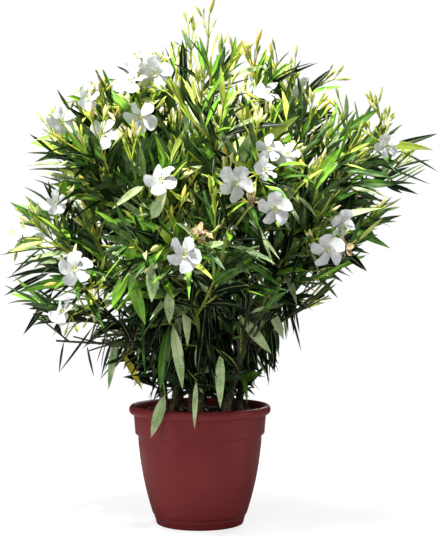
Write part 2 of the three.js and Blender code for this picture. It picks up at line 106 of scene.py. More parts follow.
# light: place, target, size, power and tint
LIGHTS = {
    "key": ((-0.6, -1.2, 3.2), (0, 0, 0.5), (0.35, 0.35), 215, (1.0, 0.99, 0.95)),
    "front": ((-0.7, -1.9, 0.8), (0, 0, 0.35), (0.3, 0.3), 10, (1, 1, 1)),
    "side_left": ((-1.9, -0.7, 0.5), (0, 0, 0.3), (0.4, 1.4), 9, (1, 1, 1)),
    "side_right": ((1.9, -0.6, 0.5), (0, 0, 0.3), (0.3, 1.4), 9, (1, 1, 1)),
    "top": ((0.1, 0.0, 2.9), (0, 0, 0.4), (0.8, 0.8), 30, (1, 1, 1)),
    "behind": ((0.8, 1.9, 1.6), (0, 0, 0.5), (0.8, 0.8), 26, (1, 1, 1)),
}

# stem: bearing and distance of its foot from the pot's axis, and the share of the way to its knee
STEMS = {
    "left": (184, 58, 0.22),
    "front_left": (222, 57, 0.4),
    "front": (268, 52, 0.2),
    "front_right": (318, 58, 0.2),
    "right": (4, 62, 0.2),
    "centre": (160, 12, 0.2),
    "back_right": (50, 56, 0.2),
    "back_left": (128, 54, 0.2),
}

# mass: its stem, fork (None on the stem's own tip), its tip's bearing, distance out and height,
# then its girth, droop, side shoots, and how many of its shoots' tips carry flowers and buds
MASSES = {
    "crown_spire": ("front_left", None, 290, 42, 812, 75, 0.0, 4, 0, 5),
    "crown_left": ("centre", None, 188, 112, 728, 120, 0.1, 5, 1, 5),
    "crown_right": ("back_right", None, 6, 160, 725, 130, 0.1, 5, 1, 5),
    "crown_back": ("centre", 0.5, 86, 140, 690, 140, 0.15, 4, 3, 4),
    "left_shoulder": ("left", None, 184, 182, 682, 130, 0.15, 5, 1, 4),
    "left_outer": ("left", 0.5, 188, 238, 484, 125, 0.4, 5, 1, 2),
    "left_low": ("left", 0.3, 204, 205, 398, 130, 0.7, 4, 0, 0),
    "front_left": ("front_left", 0.5, 234, 180, 600, 140, 0.2, 5, 0, 2),
    "front_middle": ("front", None, 296, 170, 625, 140, 0.25, 5, 0, 2),
    "front_low": ("front", 0.45, 262, 195, 465, 143, 0.5, 5, 0, 0),
    "right_shoulder": ("right", None, 2, 294, 650, 130, 0.15, 5, 1, 4),
    "right_middle": ("front_right", None, 334, 212, 505, 123, 0.3, 5, 0, 1),
    "right_low": ("right", 0.4, 350, 150, 402, 130, 0.6, 4, 0, 0),
    "back_right": ("back_right", 0.45, 48, 220, 580, 140, 0.3, 4, 3, 2),
    "back_left": ("back_left", None, 130, 225, 590, 140, 0.3, 4, 3, 2),
    "back_low": ("back_left", 0.4, 95, 200, 410, 135, 0.6, 4, 1, 0),
    "skirt_left": ("front_left", 0.24, 218, 128, 338, 150, 0.9, 5, 0, 0),
    "skirt_right": ("front_right", 0.3, 308, 112, 352, 150, 0.9, 5, 0, 0),
}

# Where a mass's flowering twigs end: millimetres to the right of, behind and above its own tip.
HEADS = {
    "crown_spire": [(-13, -80, -155, "buds"), (-12, -85, -212, "buds")],
    "crown_left": [
        (20, -64, 58, "open"), (45, -84, 33, "open"), (27, -124, -46, "open"),
        (3, -104, -1, "open"), (-13, -44, 25, "buds"),
    ],
    "crown_right": [
        (-54, -87, -11, "open"), (-32, -37, 59, "buds"), (11, -37, 51, "buds"), (70, -37, 34, "buds"),
    ],
    "left_shoulder": [
        (-52, -67, -3, "open"), (-29, -47, 42, "open"), (18, -117, 27, "open"), (28, -127, -33, "open"),
        (-27, -50, 14, "buds"),
    ],
    "left_outer": [(-80, -23, 0, "open"), (10, -67, 66, "open"), (-60, -30, 30, "buds")],
    "left_low": [
        (-10, -107, 34, "open"), (-24, -87, -38, "open"), (14, -107, 7, "buds"), (12, -87, -28, "opening"),
    ],
    "front_left": [(63, -94, -36, "open")],
    "front_middle": [
        (24, -107, -49, "open"), (-20, -107, -57, "open"), (49, -97, -95, "open"), (47, -67, -7, "open"),
        (74, -57, -22, "open"), (4, -97, -89, "wilted"),
    ],
    "front_low": [
        (16, -87, -5, "open"), (43, -72, 18, "wilted"), (-45, -77, 3, "opening"), (-16, -67, 50, "buds"),
    ],
    "right_shoulder": [(19, -90, -9, "open"), (29, -30, 67, "buds"), (46, -30, 33, "buds")],
    "right_middle": [
        (17, -97, -36, "open"), (39, -87, -33, "wilted"), (32, -77, 3, "open"), (1, -87, -20, "buds"),
    ],
}

# Leaves that stand alone: the mass they belong to, their foot and tip, colour and share of full width.
# Of their colours, the near-black one is painted shade and the sheen-pale grey-green one painted light.
STRAYS = [
    ("skirt_left", (-55, -95, 226), (-76, -128, 161), "pale", 0.88),
    ("skirt_left", (-128, -60, 292), (-90, -78, 234), "old", 0.56),
    ("skirt_left", (-46, -130, 342), (-67, -142, 236), "mid", 0.88),
    ("skirt_left", (-42, -135, 343), (-20, -142, 240), "pale", 0.88),
    ("skirt_left", (-4, -118, 252), (-8, -130, 175), "pale", 0.45),
    ("skirt_right", (36, -120, 298), (31, -132, 208), "pale", 0.8),
    ("skirt_left", (-3, -130, 307), (2, -134, 262), "pale", 0.5),
    ("skirt_right", (66, -110, 355), (114, -122, 292), "pale", 0.9),
    ("right_low", (111, -80, 372), (140, -88, 314), "pale", 0.8),
    ("front_low", (-21, -150, 390), (-15, -156, 308), "pale", 0.7),
    ("left_low", (-229, -10, 309), (-241, -14, 253), "deep", 0.2),
    ("left_low", (-178, -20, 335), (-234, -24, 253), "deep", 0.22),
    ("left_low", (-192, 0, 301), (-182, 4, 245), "deep", 0.2),
    ("left_low", (-139, -30, 319), (-153, -40, 228), "pale", 0.64),
    ("left_low", (-246, -20, 394), (-292, -30, 317), "deep", 0.56),
    ("left_outer", (-250, -20, 424), (-330, -30, 390), "deep", 0.5),
    ("left_outer", (-245, -40, 500), (-314, -60, 538), "mid", 0.56),
    ("front_low", (-105, -205, 426), (-80, -222, 345), "bright", 1.0),
    ("front_low", (-107, -205, 424), (-133, -222, 372), "bright", 0.92),
    ("front_low", (-107, -205, 436), (-94, -240, 478), "bright", 0.8),
    ("front_low", (-64, -222, 452), (-72, -236, 380), "pale", 1.12),
    ("front_low", (-44, -215, 398), (-42, -226, 346), "pale", 0.8),
    ("front_left", (-70, -220, 506), (-48, -262, 545), "pale", 1.04),
    ("left_shoulder", (-179, -60, 650), (-271, -70, 648), "bright", 0.72),
    ("left_shoulder", (-179, -50, 642), (-269, -70, 603), "mid", 0.72),
    ("crown_left", (-141, -100, 717), (-87, -118, 639), "bright", 1.04),
    ("crown_spire", (-28, -30, 727), (-26, -36, 812), "deep", 0.72),
    ("crown_spire", (24, -30, 727), (61, -40, 806), "mid", 0.64),
    ("crown_spire", (21, -40, 739), (110, -60, 763), "pale", 0.64),
    ("crown_right", (168, -20, 712), (219, -24, 768), "deep", 0.64),
    ("crown_right", (168, -30, 680), (231, -40, 691), "deep", 0.8),
    ("crown_right", (84, -60, 640), (126, -70, 689), "deep", 0.96),
    ("crown_right", (108, -120, 620), (146, -150, 642), "bright", 0.88),
    ("right_shoulder", (237, -30, 656), (300, -44, 695), "mid", 0.72),
    ("right_shoulder", (168, -110, 551), (228, -128, 624), "bright", 1.0),
    ("right_shoulder", (166, -106, 555), (196, -124, 617), "young", 0.72),
    ("right_shoulder", (306, -10, 632), (402, -20, 654), "deep", 0.56),
    ("right_shoulder", (340, -10, 628), (405, -14, 596), "deep", 0.2),
    ("right_shoulder", (300, -20, 606), (389, -24, 572), "deep", 0.22),
    ("right_shoulder", (258, -50, 571), (324, -64, 568), "mid", 0.8),
    ("right_middle", (240, -40, 499), (319, -50, 469), "mid", 0.72),
    ("right_middle", (229, -50, 470), (275, -60, 424), "deep", 0.72),
]


# ---------------------------------------------------------------- vectors and curves

def random_from(seed):
    """A small generator of numbers from 0 to 1, which are the same ones for the same seed."""
    state = seed & 0xFFFFFFFF

    def product(a, b):
        return (a * b) & 0xFFFFFFFF

    def draw():
        nonlocal state
        state = (state + 0x6D2B79F5) & 0xFFFFFFFF
        t = product(state ^ (state >> 15), 1 | state)
        t = ((t + product(t ^ (t >> 7), 61 | t)) & 0xFFFFFFFF) ^ t
        return (t ^ (t >> 14)) / 4294967296

    return draw


def lerp(a, b, share):
    return a + (b - a) * share


def unit(vector):
    return vector / max(np.linalg.norm(vector), 1e-9)


def units(vectors):
    return vectors / np.maximum(np.linalg.norm(vectors, axis=-1, keepdims=True), 1e-9)


def polar(bearing, out, height):
    angle = math.radians(bearing)
    return np.array([out * math.cos(angle), out * math.sin(angle), height])


def across_of(axis):
    reference = UP if abs(axis[2]) < 0.9 else np.array([1.0, 0.0, 0.0])
    return np.cross(reference, axis)


def side_of(axis, angle, across=None):
    across = across_of(axis) if across is None else across
    start = unit(across - axis * across.dot(axis))
    return start * math.cos(angle) + np.cross(axis, start) * math.sin(angle)


def tilted(axis, angle, tilt, across=None):
    return axis * math.cos(tilt) + side_of(axis, angle, across) * math.sin(tilt)


class Curve:
    """A quadratic curve through a foot, a knee and a tip."""

    def __init__(self, foot, knee, tip):
        self.foot, self.knee, self.tip = foot, knee, tip
        self.shares = np.linspace(0, 1, 41)
        steps = np.linalg.norm(np.diff(self.points(self.shares), axis=0), axis=1)
        self.lengths = np.concatenate([[0], np.cumsum(steps)])
        self.length = self.lengths[-1]

    def points(self, shares):
        t = np.asarray(shares, float)[:, None]
        return (1 - t) ** 2 * self.foot + 2 * t * (1 - t) * self.knee + t**2 * self.tip

    def point(self, share):
        return self.points([share])[0]

    def tangent(self, share):
        return unit((1 - share) * (self.knee - self.foot) + share * (self.tip - self.knee))

    def share_at(self, way):
        """The curve's own share at this share of its length."""
        return float(np.interp(way * self.length, self.lengths, self.shares))

    def stretch(self, start, end=1.0):
        knee = self.foot * (1 - start) * (1 - end)
        knee = knee + self.knee * (start * (1 - end) + end * (1 - start)) + self.tip * start * end
        return Curve(self.point(start), knee, self.point(end))


# ---------------------------------------------------------------- meshes

class Piece:
    """One mesh in the making: parts are added in millimetres, and built() makes the object."""

    def __init__(self, name, slot, materials, nodes=()):
        self.name, self.slot, self.materials, self.nodes = name, slot, materials, nodes
        self.points, self.loops, self.sizes, self.finishes, self.count = [], [], [], [], 0

    def add(self, points, *groups):
        """Points with groups of faces, each group with its material or with one for every face."""
        for faces, finish in groups:
            faces = np.asarray(faces)
            self.loops.append((faces + self.count).ravel())
            self.sizes.append(np.full(len(faces), faces.shape[1]))
            self.finishes.append(np.broadcast_to(finish, len(faces)))
        self.points.append(np.asarray(points, float).reshape(-1, 3))
        self.count += len(self.points[-1])

    def built(self, sharp):
        """Makes the object. Edges that turn by more than `sharp` degrees stay sharp."""
        points = np.concatenate(self.points) * MM
        loops = np.concatenate(self.loops)
        sizes = np.concatenate(self.sizes)
        mesh = bpy.data.meshes.new(self.name)
        mesh.vertices.add(len(points))
        mesh.vertices.foreach_set("co", points.astype(np.float32).ravel())
        mesh.loops.add(len(loops))
        mesh.loops.foreach_set("vertex_index", loops.astype(np.int32))
        mesh.polygons.add(len(sizes))
        starts = np.concatenate([[0], np.cumsum(sizes)[:-1]])
        mesh.polygons.foreach_set("loop_start", starts.astype(np.int32))
        mesh.polygons.foreach_set("material_index", np.concatenate(self.finishes).astype(np.int32))
        mesh.polygons.foreach_set("use_smooth", np.ones(len(sizes), bool))
        for material in self.materials:
            mesh.materials.append(material)
        mesh.update(calc_edges=True)
        mesh.validate()
        mesh.set_sharp_from_angle(angle=math.radians(sharp))
        piece = bpy.data.objects.new(self.name, mesh)
        bpy.context.scene.collection.objects.link(piece)
        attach(piece, "root")
        if self.nodes:
            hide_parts(*self.nodes)


def ring_quads(rows, columns):
    """Quads between rings of a closed tube, where ring i holds vertices i * columns onwards."""
    i, k = np.meshgrid(np.arange(rows - 1), np.arange(columns), indexing="ij")
    next_k = (k + 1) % columns
    quads = [i * columns + k, i * columns + next_k, (i + 1) * columns + next_k, (i + 1) * columns + k]
    return np.stack(quads, axis=-1).reshape(-1, 4)


def add_rings(piece, rings, foot, tip, finish):
    """A skin over rings of points, closed by a fan to a point at each end."""
    rows, sides = rings.shape[:2]
    k = np.arange(sides)
    following = (k + 1) % sides
    last, foot_index = (rows - 1) * sides, rows * sides
    fans = np.concatenate([
        np.stack([np.full(sides, foot_index), following, k], axis=-1),
        np.stack([np.full(sides, foot_index + 1), last + k, last + following], axis=-1),
    ])
    points = np.concatenate([rings.reshape(-1, 3), [foot, tip]])
    piece.add(points, (ring_quads(rows, sides), finish), (fans, finish))


def add_tube(piece, line, radii, sides, finish, relief=0):
    """A round limb along a line of points, closed at both ends. `relief` adds to each radius."""
    line = np.asarray(line, float)
    tangents = units(np.gradient(line, axis=0))
    across = unit(across_of(tangents[0]))
    spokes = []
    for tangent in tangents:
        across = unit(across - tangent * across.dot(tangent))
        spokes.append(across)
    spokes = np.array(spokes)
    others = np.cross(tangents, spokes)
    angles = np.arange(sides) * TAU / sides
    size = np.asarray(radii, float)[:, None] + np.zeros(sides) + relief
    rings = line[:, None] + size[..., None] * (
        spokes[:, None] * np.cos(angles)[:, None] + others[:, None] * np.sin(angles)[:, None]
    )
    add_rings(piece, rings, line[0], line[-1], finish)


def add_lathe(piece, profile, sides, finish):
    """A solid turned from a section of (radius, height) that starts and ends on the axis."""
    radii, heights = np.array(profile, float).T[..., None]
    angles = np.arange(sides) * TAU / sides
    rings = np.stack(np.broadcast_arrays(radii * np.cos(angles), radii * np.sin(angles), heights), -1)
    add_rings(piece, rings[1:-1], rings[0, 0], rings[-1, 0], finish)


class Pattern:
    """The mesh of one blade: rings of a flat section from its foot to a pointed tip.

    A section's points have their place across the blade, -1 to 1, and lie on its upper side (layer 1),
    its underside (-1) or its edge (0). A blade of five or more bands has a midrib of its own colour.
    """

    def __init__(self, stations, widths, top):
        section = [(c, int(abs(c) != 1)) for c in top] + [(0.0, -1)]
        rows = [(share, c, layer, width) for share, width in zip(stations, widths) for c, layer in section]
        self.s, self.c, self.layer, self.w = np.array([*rows, (1, 0, 0, 0)], float).T
        rings, n, bands = len(stations), len(section), len(top) - 1
        k = np.arange(n)
        zone = np.where(k < bands, 0, 2)
        if bands > 3:
            zone[bands // 2] = 1
        self.quads = ring_quads(rings, n)[:, ::-1]
        self.quad_zones = np.tile(zone, rings - 1)
        last = (rings - 1) * n
        tips = np.stack([last + (k + 1) % n, last + k, np.full(n, rings * n)], axis=-1)
        foot = np.stack([np.zeros(n - 2, int), k[1:-1], k[2:]], axis=-1)
        self.triangles = np.concatenate([tips, foot])
        self.triangle_zones = np.concatenate([zone, np.full(n - 2, 2)])


class Blades:
    """Many blades of one pattern, each with its own place, size and bends."""

    def __init__(self, pattern, thickness, rib=0.0):
        self.pattern, self.thickness, self.rib, self.rows = pattern, thickness, rib, []

    def add(self, root, direction, above, length, half, finish, **bends):
        """`half` is half the width, `finish` the material of upper side, midrib and underside."""
        shape = {"droop": 0, "curl": 0, "sway": 0, "fold": 0, "twist": 0, "ruffle": 0, **bends}
        self.rows.append((root, direction, above, length, half, finish, list(shape.values())))

    def fill(self, piece):
        root, direction, above, length, half, finish, bends = map(np.array, zip(*self.rows))
        length, half = length[:, None], half[:, None]
        droop, curl, sway, fold, twist, ruffle = bends.T[..., None]
        pattern = self.pattern
        s, c, w, layer = pattern.s[None], pattern.c[None], pattern.w[None], pattern.layer[None]
        side = units(np.cross(direction, above))
        normal = np.cross(side, direction)
        turn = twist * s
        across = c * half * w
        lift = np.abs(c) * half * w * np.tan(fold)
        lift = lift + ruffle * half * np.abs(c) ** 2 * np.sin(s * 11 + c * 2 + length) * w
        body = layer * 0.5 * self.thickness
        body = body - (layer < 0) * self.rib * (1 - 0.75 * s)
        along_side = across * np.cos(turn) - (lift + body) * np.sin(turn) + sway * length * s**2
        along_normal = across * np.sin(turn) + (lift + body) * np.cos(turn) + curl * length * s**2
        points = (
            root[:, None]
            + direction[:, None] * (length * s)[..., None]
            + side[:, None] * along_side[..., None]
            + normal[:, None] * along_normal[..., None]
            - UP * (droop * length * s**2)[..., None]
        )
        offsets = (np.arange(len(root)) * len(pattern.s))[:, None, None]
        quads = (pattern.quads[None] + offsets).reshape(-1, 4)
        triangles = (pattern.triangles[None] + offsets).reshape(-1, 3)
        quad_finish = finish[:, pattern.quad_zones].ravel()
        triangle_finish = finish[:, pattern.triangle_zones].ravel()
        piece.add(points, (quads, quad_finish), (triangles, triangle_finish))


# ---------------------------------------------------------------- materials

def srgb(colour):
    shares = [value / 255 for value in colour]
    return (*(v / 12.92 if v <= 0.04045 else ((v + 0.055) / 1.055) ** 2.4 for v in shares), 1)


def surface(name, dark, light, grain, rough, bump, speckle=None, stretch=(1, 1, 1),
            sheen=0.0, specular=0.5, scatter=0.0):
    """A material whose colour drifts between two tones over patches of `grain` millimetres.

    Colours are sRGB from 0 to 255. `rough` is the range of its roughness, `bump` its relief in
    millimetres with the size of that relief's grain, and `speckle` a third colour with the share of
    the surface that it dots and the dots' size. `stretch` scales the pattern along each axis.
    """
    material = bpy.data.materials.new(name)
    material.use_nodes = True
    nodes, links = material.node_tree.nodes, material.node_tree.links
    shader = nodes["Principled BSDF"]
    place = nodes.new("ShaderNodeTexCoord")
    mapping = nodes.new("ShaderNodeMapping")
    mapping.inputs["Scale"].default_value = stretch
    links.new(place.outputs["Object"], mapping.inputs["Vector"])

    def noise(size, detail):
        node = nodes.new("ShaderNodeTexNoise")
        node.inputs["Scale"].default_value = 1 / (size * MM)
        node.inputs["Detail"].default_value = detail
        links.new(mapping.outputs["Vector"], node.inputs["Vector"])
        return node

    def ramp(source, stops):
        node = nodes.new("ShaderNodeValToRGB")
        for element, (position, colour) in zip(node.color_ramp.elements, stops):
            element.position, element.color = position, colour
        links.new(source, node.inputs["Fac"])
        return node

    patches = noise(grain, 3)
    tone = ramp(patches.outputs["Fac"], [(0.36, srgb(dark)), (0.64, srgb(light))]).outputs["Color"]
    if speckle:
        colour, share, size = speckle
        dots = noise(size, 1)
        mask = ramp(dots.outputs["Fac"], [(0.72 - share, (0, 0, 0, 1)), (0.76 - share, (1, 1, 1, 1))])
        mix = nodes.new("ShaderNodeMix")
        mix.data_type = "RGBA"
        links.new(mask.outputs["Color"], mix.inputs["Factor"])
        links.new(tone, mix.inputs[6])
        mix.inputs[7].default_value = srgb(colour)
        tone = mix.outputs[2]
    links.new(tone, shader.inputs["Base Color"])
    wear = nodes.new("ShaderNodeMapRange")
    wear.inputs["To Min"].default_value, wear.inputs["To Max"].default_value = rough
    links.new(noise(grain * 0.6, 2).outputs["Fac"], wear.inputs["Value"])
    links.new(wear.outputs["Result"], shader.inputs["Roughness"])
    relief = nodes.new("ShaderNodeBump")
    relief.inputs["Strength"].default_value = 1
    relief.inputs["Distance"].default_value = bump[0] * MM
    links.new(noise(bump[1], 4).outputs["Fac"], relief.inputs["Height"])
    links.new(relief.outputs["Normal"], shader.inputs["Normal"])
    shader.inputs["Specular IOR Level"].default_value = specular
    shader.inputs["Sheen Weight"].default_value = sheen
    if scatter:
        shader.inputs["Subsurface Weight"].default_value = scatter
        shader.inputs["Subsurface Radius"].default_value = (1, 1, 1)
        shader.inputs["Subsurface Scale"].default_value = 0.002
    return material


def leaf_surface(name, dark, light, speckle=None, rough=(0.36, 0.52), specular=0.28):
    return surface(name, dark, light, 24, rough, (0.25, 1.6), speckle=speckle, specular=specular)


LEAF_MATERIALS = {
    # Painted shade: a near-black green dealt to leaves low in the crown and inside it, where shade falls.
    "deep": leaf_surface("leaf_deep", (3, 12, 5), (12, 30, 11), rough=(0.42, 0.6), specular=0.12),
    "mid": leaf_surface("leaf_mid", (32, 75, 12), (77, 125, 31)),
    "bright": leaf_surface("leaf_bright", (92, 158, 24), (142, 196, 56)),
    "young": leaf_surface("leaf_young", (164, 190, 62), (204, 218, 110)),
    # Painted light: a pale grey-green with paler dots, standing in for sunlit, sheen-whitened leaf tops.
    "pale": leaf_surface(
        "leaf_pale", (132, 164, 96), (200, 218, 162), ((206, 220, 178), 0.13, 2.2), (0.4, 0.55)
    ),
    "old": leaf_surface("leaf_old", (150, 146, 30), (204, 186, 48)),
    # The undersides' green is darkened from its real paler tone, as painted shade.
    "under": surface(
        "leaf_under", (46, 78, 32), (94, 126, 68), 18, (0.5, 0.65), (0.2, 1.1),
        speckle=((132, 158, 104), 0.12, 1.8),
    ),
    # Painted shade on the undersides of the painted-shade leaves.
    "deep_under": leaf_surface(
        "leaf_deep_under", (18, 38, 16), (48, 74, 36), rough=(0.5, 0.65), specular=0.14
    ),
    "rib": leaf_surface("leaf_rib", (116, 150, 78), (162, 188, 120)),
    "young_rib": leaf_surface("leaf_young_rib", (178, 198, 96), (206, 218, 134)),
}
LEAF_FINISHES = {name: index for index, name in enumerate(LEAF_MATERIALS)}

TWIG_MATERIALS = [
    surface("twig_green", (92, 112, 34), (136, 148, 52), 14, (0.45, 0.6), (0.2, 2.0),
            speckle=((168, 166, 110), 0.1, 1.4)),
    surface("twig_young", (152, 162, 42), (200, 204, 78), 10, (0.4, 0.55), (0.1, 1.5)),
    # Painted shade: a dark twig colour for the twigs low in the crown.
    surface("twig_old", (30, 36, 14), (66, 68, 32), 12, (0.5, 0.7), (0.3, 1.8)),
]
BARK_MATERIALS = [
    surface("bark_old", (50, 42, 22), (92, 80, 44), 9, (0.65, 0.85), (0.6, 1.7),
            speckle=((132, 122, 86), 0.12, 1.6), stretch=(1, 1, 0.45)),
    surface("bark_green", (48, 52, 20), (88, 92, 42), 11, (0.55, 0.75), (0.4, 1.5),
            speckle=((136, 130, 92), 0.1, 1.3), stretch=(1, 1, 0.5)),
]
PETAL_MATERIALS = [
    surface("petal_white", (206, 210, 213), (229, 231, 231), 8, (0.45, 0.6), (0.25, 1.8),
            sheen=0.15, scatter=0.15),
    surface("petal_throat", (206, 212, 150), (226, 230, 186), 4, (0.45, 0.6), (0.1, 1.0)),
    surface("petal_wilted", (160, 122, 76), (216, 198, 160), 5, (0.7, 0.85), (0.6, 1.4)),
]
BUD_MATERIALS = [
    surface("bud_green", (138, 164, 38), (192, 204, 78), 6, (0.4, 0.55), (0.15, 1.2)),
    surface("bud_cream", (216, 208, 126), (236, 232, 172), 7, (0.4, 0.55), (0.15, 1.4)),
    surface("bud_orange", (204, 180, 66), (228, 210, 104), 5, (0.45, 0.6), (0.15, 1.2)),
]
SOIL_MATERIALS = [
    surface("soil_peat", (10, 8, 6), (36, 27, 20), 3, (0.8, 0.95), (1.2, 1.4)),
    surface("soil_chip", (92, 66, 40), (168, 134, 92), 3, (0.75, 0.9), (0.5, 1.0)),
    surface("soil_perlite", (196, 192, 180), (236, 234, 226), 3, (0.8, 0.9), (0.5, 0.8)),
]
POT_MATERIAL = surface(
    "pot_plastic", (117, 41, 43), (124, 45, 46), 60, (0.42, 0.5), (0.05, 0.8),
    speckle=((134, 57, 57), 0.03, 2.2), specular=0.16,
)


# ---------------------------------------------------------------- pot and soil

def arc(centre, radius, start, end, steps, tall=1.0):
    """Points of a section's rounded corner, from one angle in degrees to another."""
    angles = np.radians(np.linspace(start, end, steps))
    return [(centre[0] + radius * math.cos(a), centre[1] + tall * radius * math.sin(a)) for a in angles]


def bowl_radius(height):
    above_foot = min(height / BOWL_HEIGHT, 1)
    return BOWL_TOP - BOWL_NARROWING * (1 - above_foot) ** BOWL_CURVE


def build_pot():
    """The pot, turned from its section: from the middle of its underside out and up, over the lip
    and down inside."""
    foot = [(0, 3), (62, 3), (64, 0.4), (70, 0)] + arc((71.6, 2.2), 2.2, -90, -10, 5)
    ring = [(bowl_radius(z) - 1.3, z) for z in (6, 10, 14)]
    crease = [(bowl_radius(15) - 1.9, 15.3), (bowl_radius(16) - 1.8, 16.2), (bowl_radius(17) - 0.4, 17.2)]
    bowl = [(bowl_radius(z), z) for z in np.linspace(18.5, 149, 30)]
    ledge = [(104.9, 150.4)] + arc((106.0, 154.2), 3.6, -75, -8, 6) + [(109.7, 155.6)]
    band = [(lerp(109.8, 111.8, share), lerp(157, 182, share)) for share in np.linspace(0, 1, 6)]
    groove = [(111.6, 183.2), (111.9, 184.0)]
    lip = arc((114.0, 192.3), 5.9, -72, 112, 18, tall=1.28)
    inner = [(110.2, 198.6), (108.6, 196.2), (107.6, 191), (107.2, 184), (106.4, 160)]
    inner += [(bowl_radius(z) - POT_WALL, z) for z in (146, 120, 90, 60, 30, 8)]
    profile = foot + ring + crease + bowl + ledge + band + groove + lip + inner
    pot = Piece("pot_shell", "pot", [POT_MATERIAL], ["pot"])
    add_lathe(pot, profile + [(60, POT_FLOOR), (0, POT_FLOOR)], POT_SIDES, 0)
    pot.built(sharp=35)


def wobble(x, y, seed, waves=9, size=0.09):
    """A smooth random height over the plane, about 1 from trough to crest."""
    random = np.random.default_rng(seed)
    total = np.zeros_like(x)
    for _ in range(waves):
        angle, phase, pitch = random.uniform(0, TAU), random.uniform(0, TAU), random.uniform(0.5, 2.4)
        total += np.sin((x * math.cos(angle) + y * math.sin(angle)) * size * pitch + phase) / pitch**0.5
    return total / waves


def add_lump(piece, random, centre, size, finish):
    """One angular crumb: a cube of eight corners pushed out of true."""
    corners = np.array([[x, y, z] for z in (-1, 1) for x, y in ((-1, -1), (1, -1), (1, 1), (-1, 1))])
    turn = np.linalg.qr(random.normal(size=(3, 3)))[0]
    if np.linalg.det(turn) < 0:
        turn[:, 0] *= -1
    points = (corners * size * 0.5 * random.uniform(0.55, 1.1, (8, 3))) @ turn.T + centre
    faces = [[0, 3, 2, 1], [4, 5, 6, 7], [0, 1, 5, 4], [1, 2, 6, 5], [2, 3, 7, 6], [3, 0, 4, 7]]
    piece.add(points, (faces, finish))


def build_soil():
    """Uneven potting mix: a rough top over a flat underside, strewn with peat, bark and perlite."""
    random = np.random.default_rng(71)
    soil = Piece("soil_surface", "soil", SOIL_MATERIALS, ["soil"])
    radii = np.linspace(0, SOIL_RADIUS, SOIL_ROWS)[1:]
    angles = np.arange(SOIL_COLUMNS) * TAU / SOIL_COLUMNS
    r, a = np.meshgrid(radii, angles, indexing="ij")
    x, y = r * np.cos(a), r * np.sin(a)
    height = SOIL_TOP - 1.5 + 3.2 * wobble(x, y, 5) + 1.8 * wobble(x, y, 6, 12, 0.5)
    height += random.normal(0, 0.55, height.shape)
    bottom = SOIL_TOP - SOIL_DEPTH
    under = np.stack([x[-1] * 0.985, y[-1] * 0.985, np.full(SOIL_COLUMNS, bottom)], axis=-1)
    rings = np.concatenate([under[None], np.stack([x, y, height], axis=-1)[::-1]])
    add_rings(soil, rings, [0, 0, bottom], [0, 0, SOIL_TOP - 1.5], 0)
    for _ in range(SOIL_CRUMBS):
        angle, out = random.uniform(0, TAU), 104 * random.uniform(0, 1) ** 0.42
        size = random.uniform(1.6, 4.6)
        kind = random.choice([0, 1, 2], p=CRUMB_SHARES)
        centre = [out * math.cos(angle), out * math.sin(angle), SOIL_TOP + random.uniform(-1.6, 1.2)]
        add_lump(soil, random, np.array(centre), np.array([1.3, 0.9, 0.7]) * size, kind)
    soil.built(sharp=30)


# ---------------------------------------------------------------- the skeleton

def stem_curve(name, tip):
    bearing, out, lean = STEMS[name]
    foot = polar(bearing, out, SOIL_TOP - STEM_SUNK)
    knee = lerp(foot, tip, lean)
    knee[2] = lerp(foot[2], tip[2], STEM_KNEE_HEIGHT)
    return Curve(foot, knee, tip)


def bough_curve(stem, fork, tip):
    foot = stem.point(fork)
    reach = np.linalg.norm(tip - foot)
    outward = unit((tip - foot) * [1, 1, 0])
    direction = unit(stem.tangent(fork) * 0.8 + outward * 0.6)
    return Curve(foot, foot + direction * BOUGH_KNEE * reach, tip)


class Mass:
    """A mass of foliage, by its values in MASSES. `tip` is where its leader ends."""

    def __init__(self, index, name):
        self.index, self.name = index, name
        self.stem, self.fork, bearing, out, height, *rest = MASSES[name]
        self.girth, self.droop, self.shoots, self.blooms, self.buds = rest
        self.tip = polar(bearing, out, height)


def grow_skeleton():
    masses = [Mass(index, name) for index, name in enumerate(MASSES)]
    stems = {}
    for mass in masses:
        if mass.fork is None:
            path = stem_curve(mass.stem, mass.tip)
            mass.limb, mass.leader = path.stretch(0, STEM_SHARE), path.stretch(STEM_SHARE)
            stems[mass.stem] = mass.limb
    for mass in masses:
        if mass.fork is not None:
            path = bough_curve(stems[mass.stem], mass.fork, mass.tip)
            mass.limb, mass.leader = path.stretch(0, BOUGH_SHARE), path.stretch(BOUGH_SHARE)
    return masses, stems


def bark_relief(length, radius, sides, random):
    """Node rings with their leaf scars, lengthwise ridges and a little unevenness, in millimetres."""
    angles = np.arange(sides) * TAU / sides
    relief = np.zeros((len(length), sides))
    for wave in range(3, 8):
        relief += 0.05 * radius[:, None] * np.sin(wave * angles + random.uniform(0, TAU)) / wave
    relief += random.normal(0, 0.08, relief.shape)
    place = random.uniform(8, 20)
    while place < length[-1] - 4:
        ring = np.exp(-(((length - place) / 1.5) ** 2))[:, None]
        scar = 0.5 + 0.5 * np.cos(3 * angles + random.uniform(0, TAU))
        relief += ring * (0.35 + 0.75 * scar)
        relief -= 0.3 * np.exp(-(((length - place - 3.2) / 1.2) ** 2))[:, None]
        place += random.uniform(17, 30)
    return relief


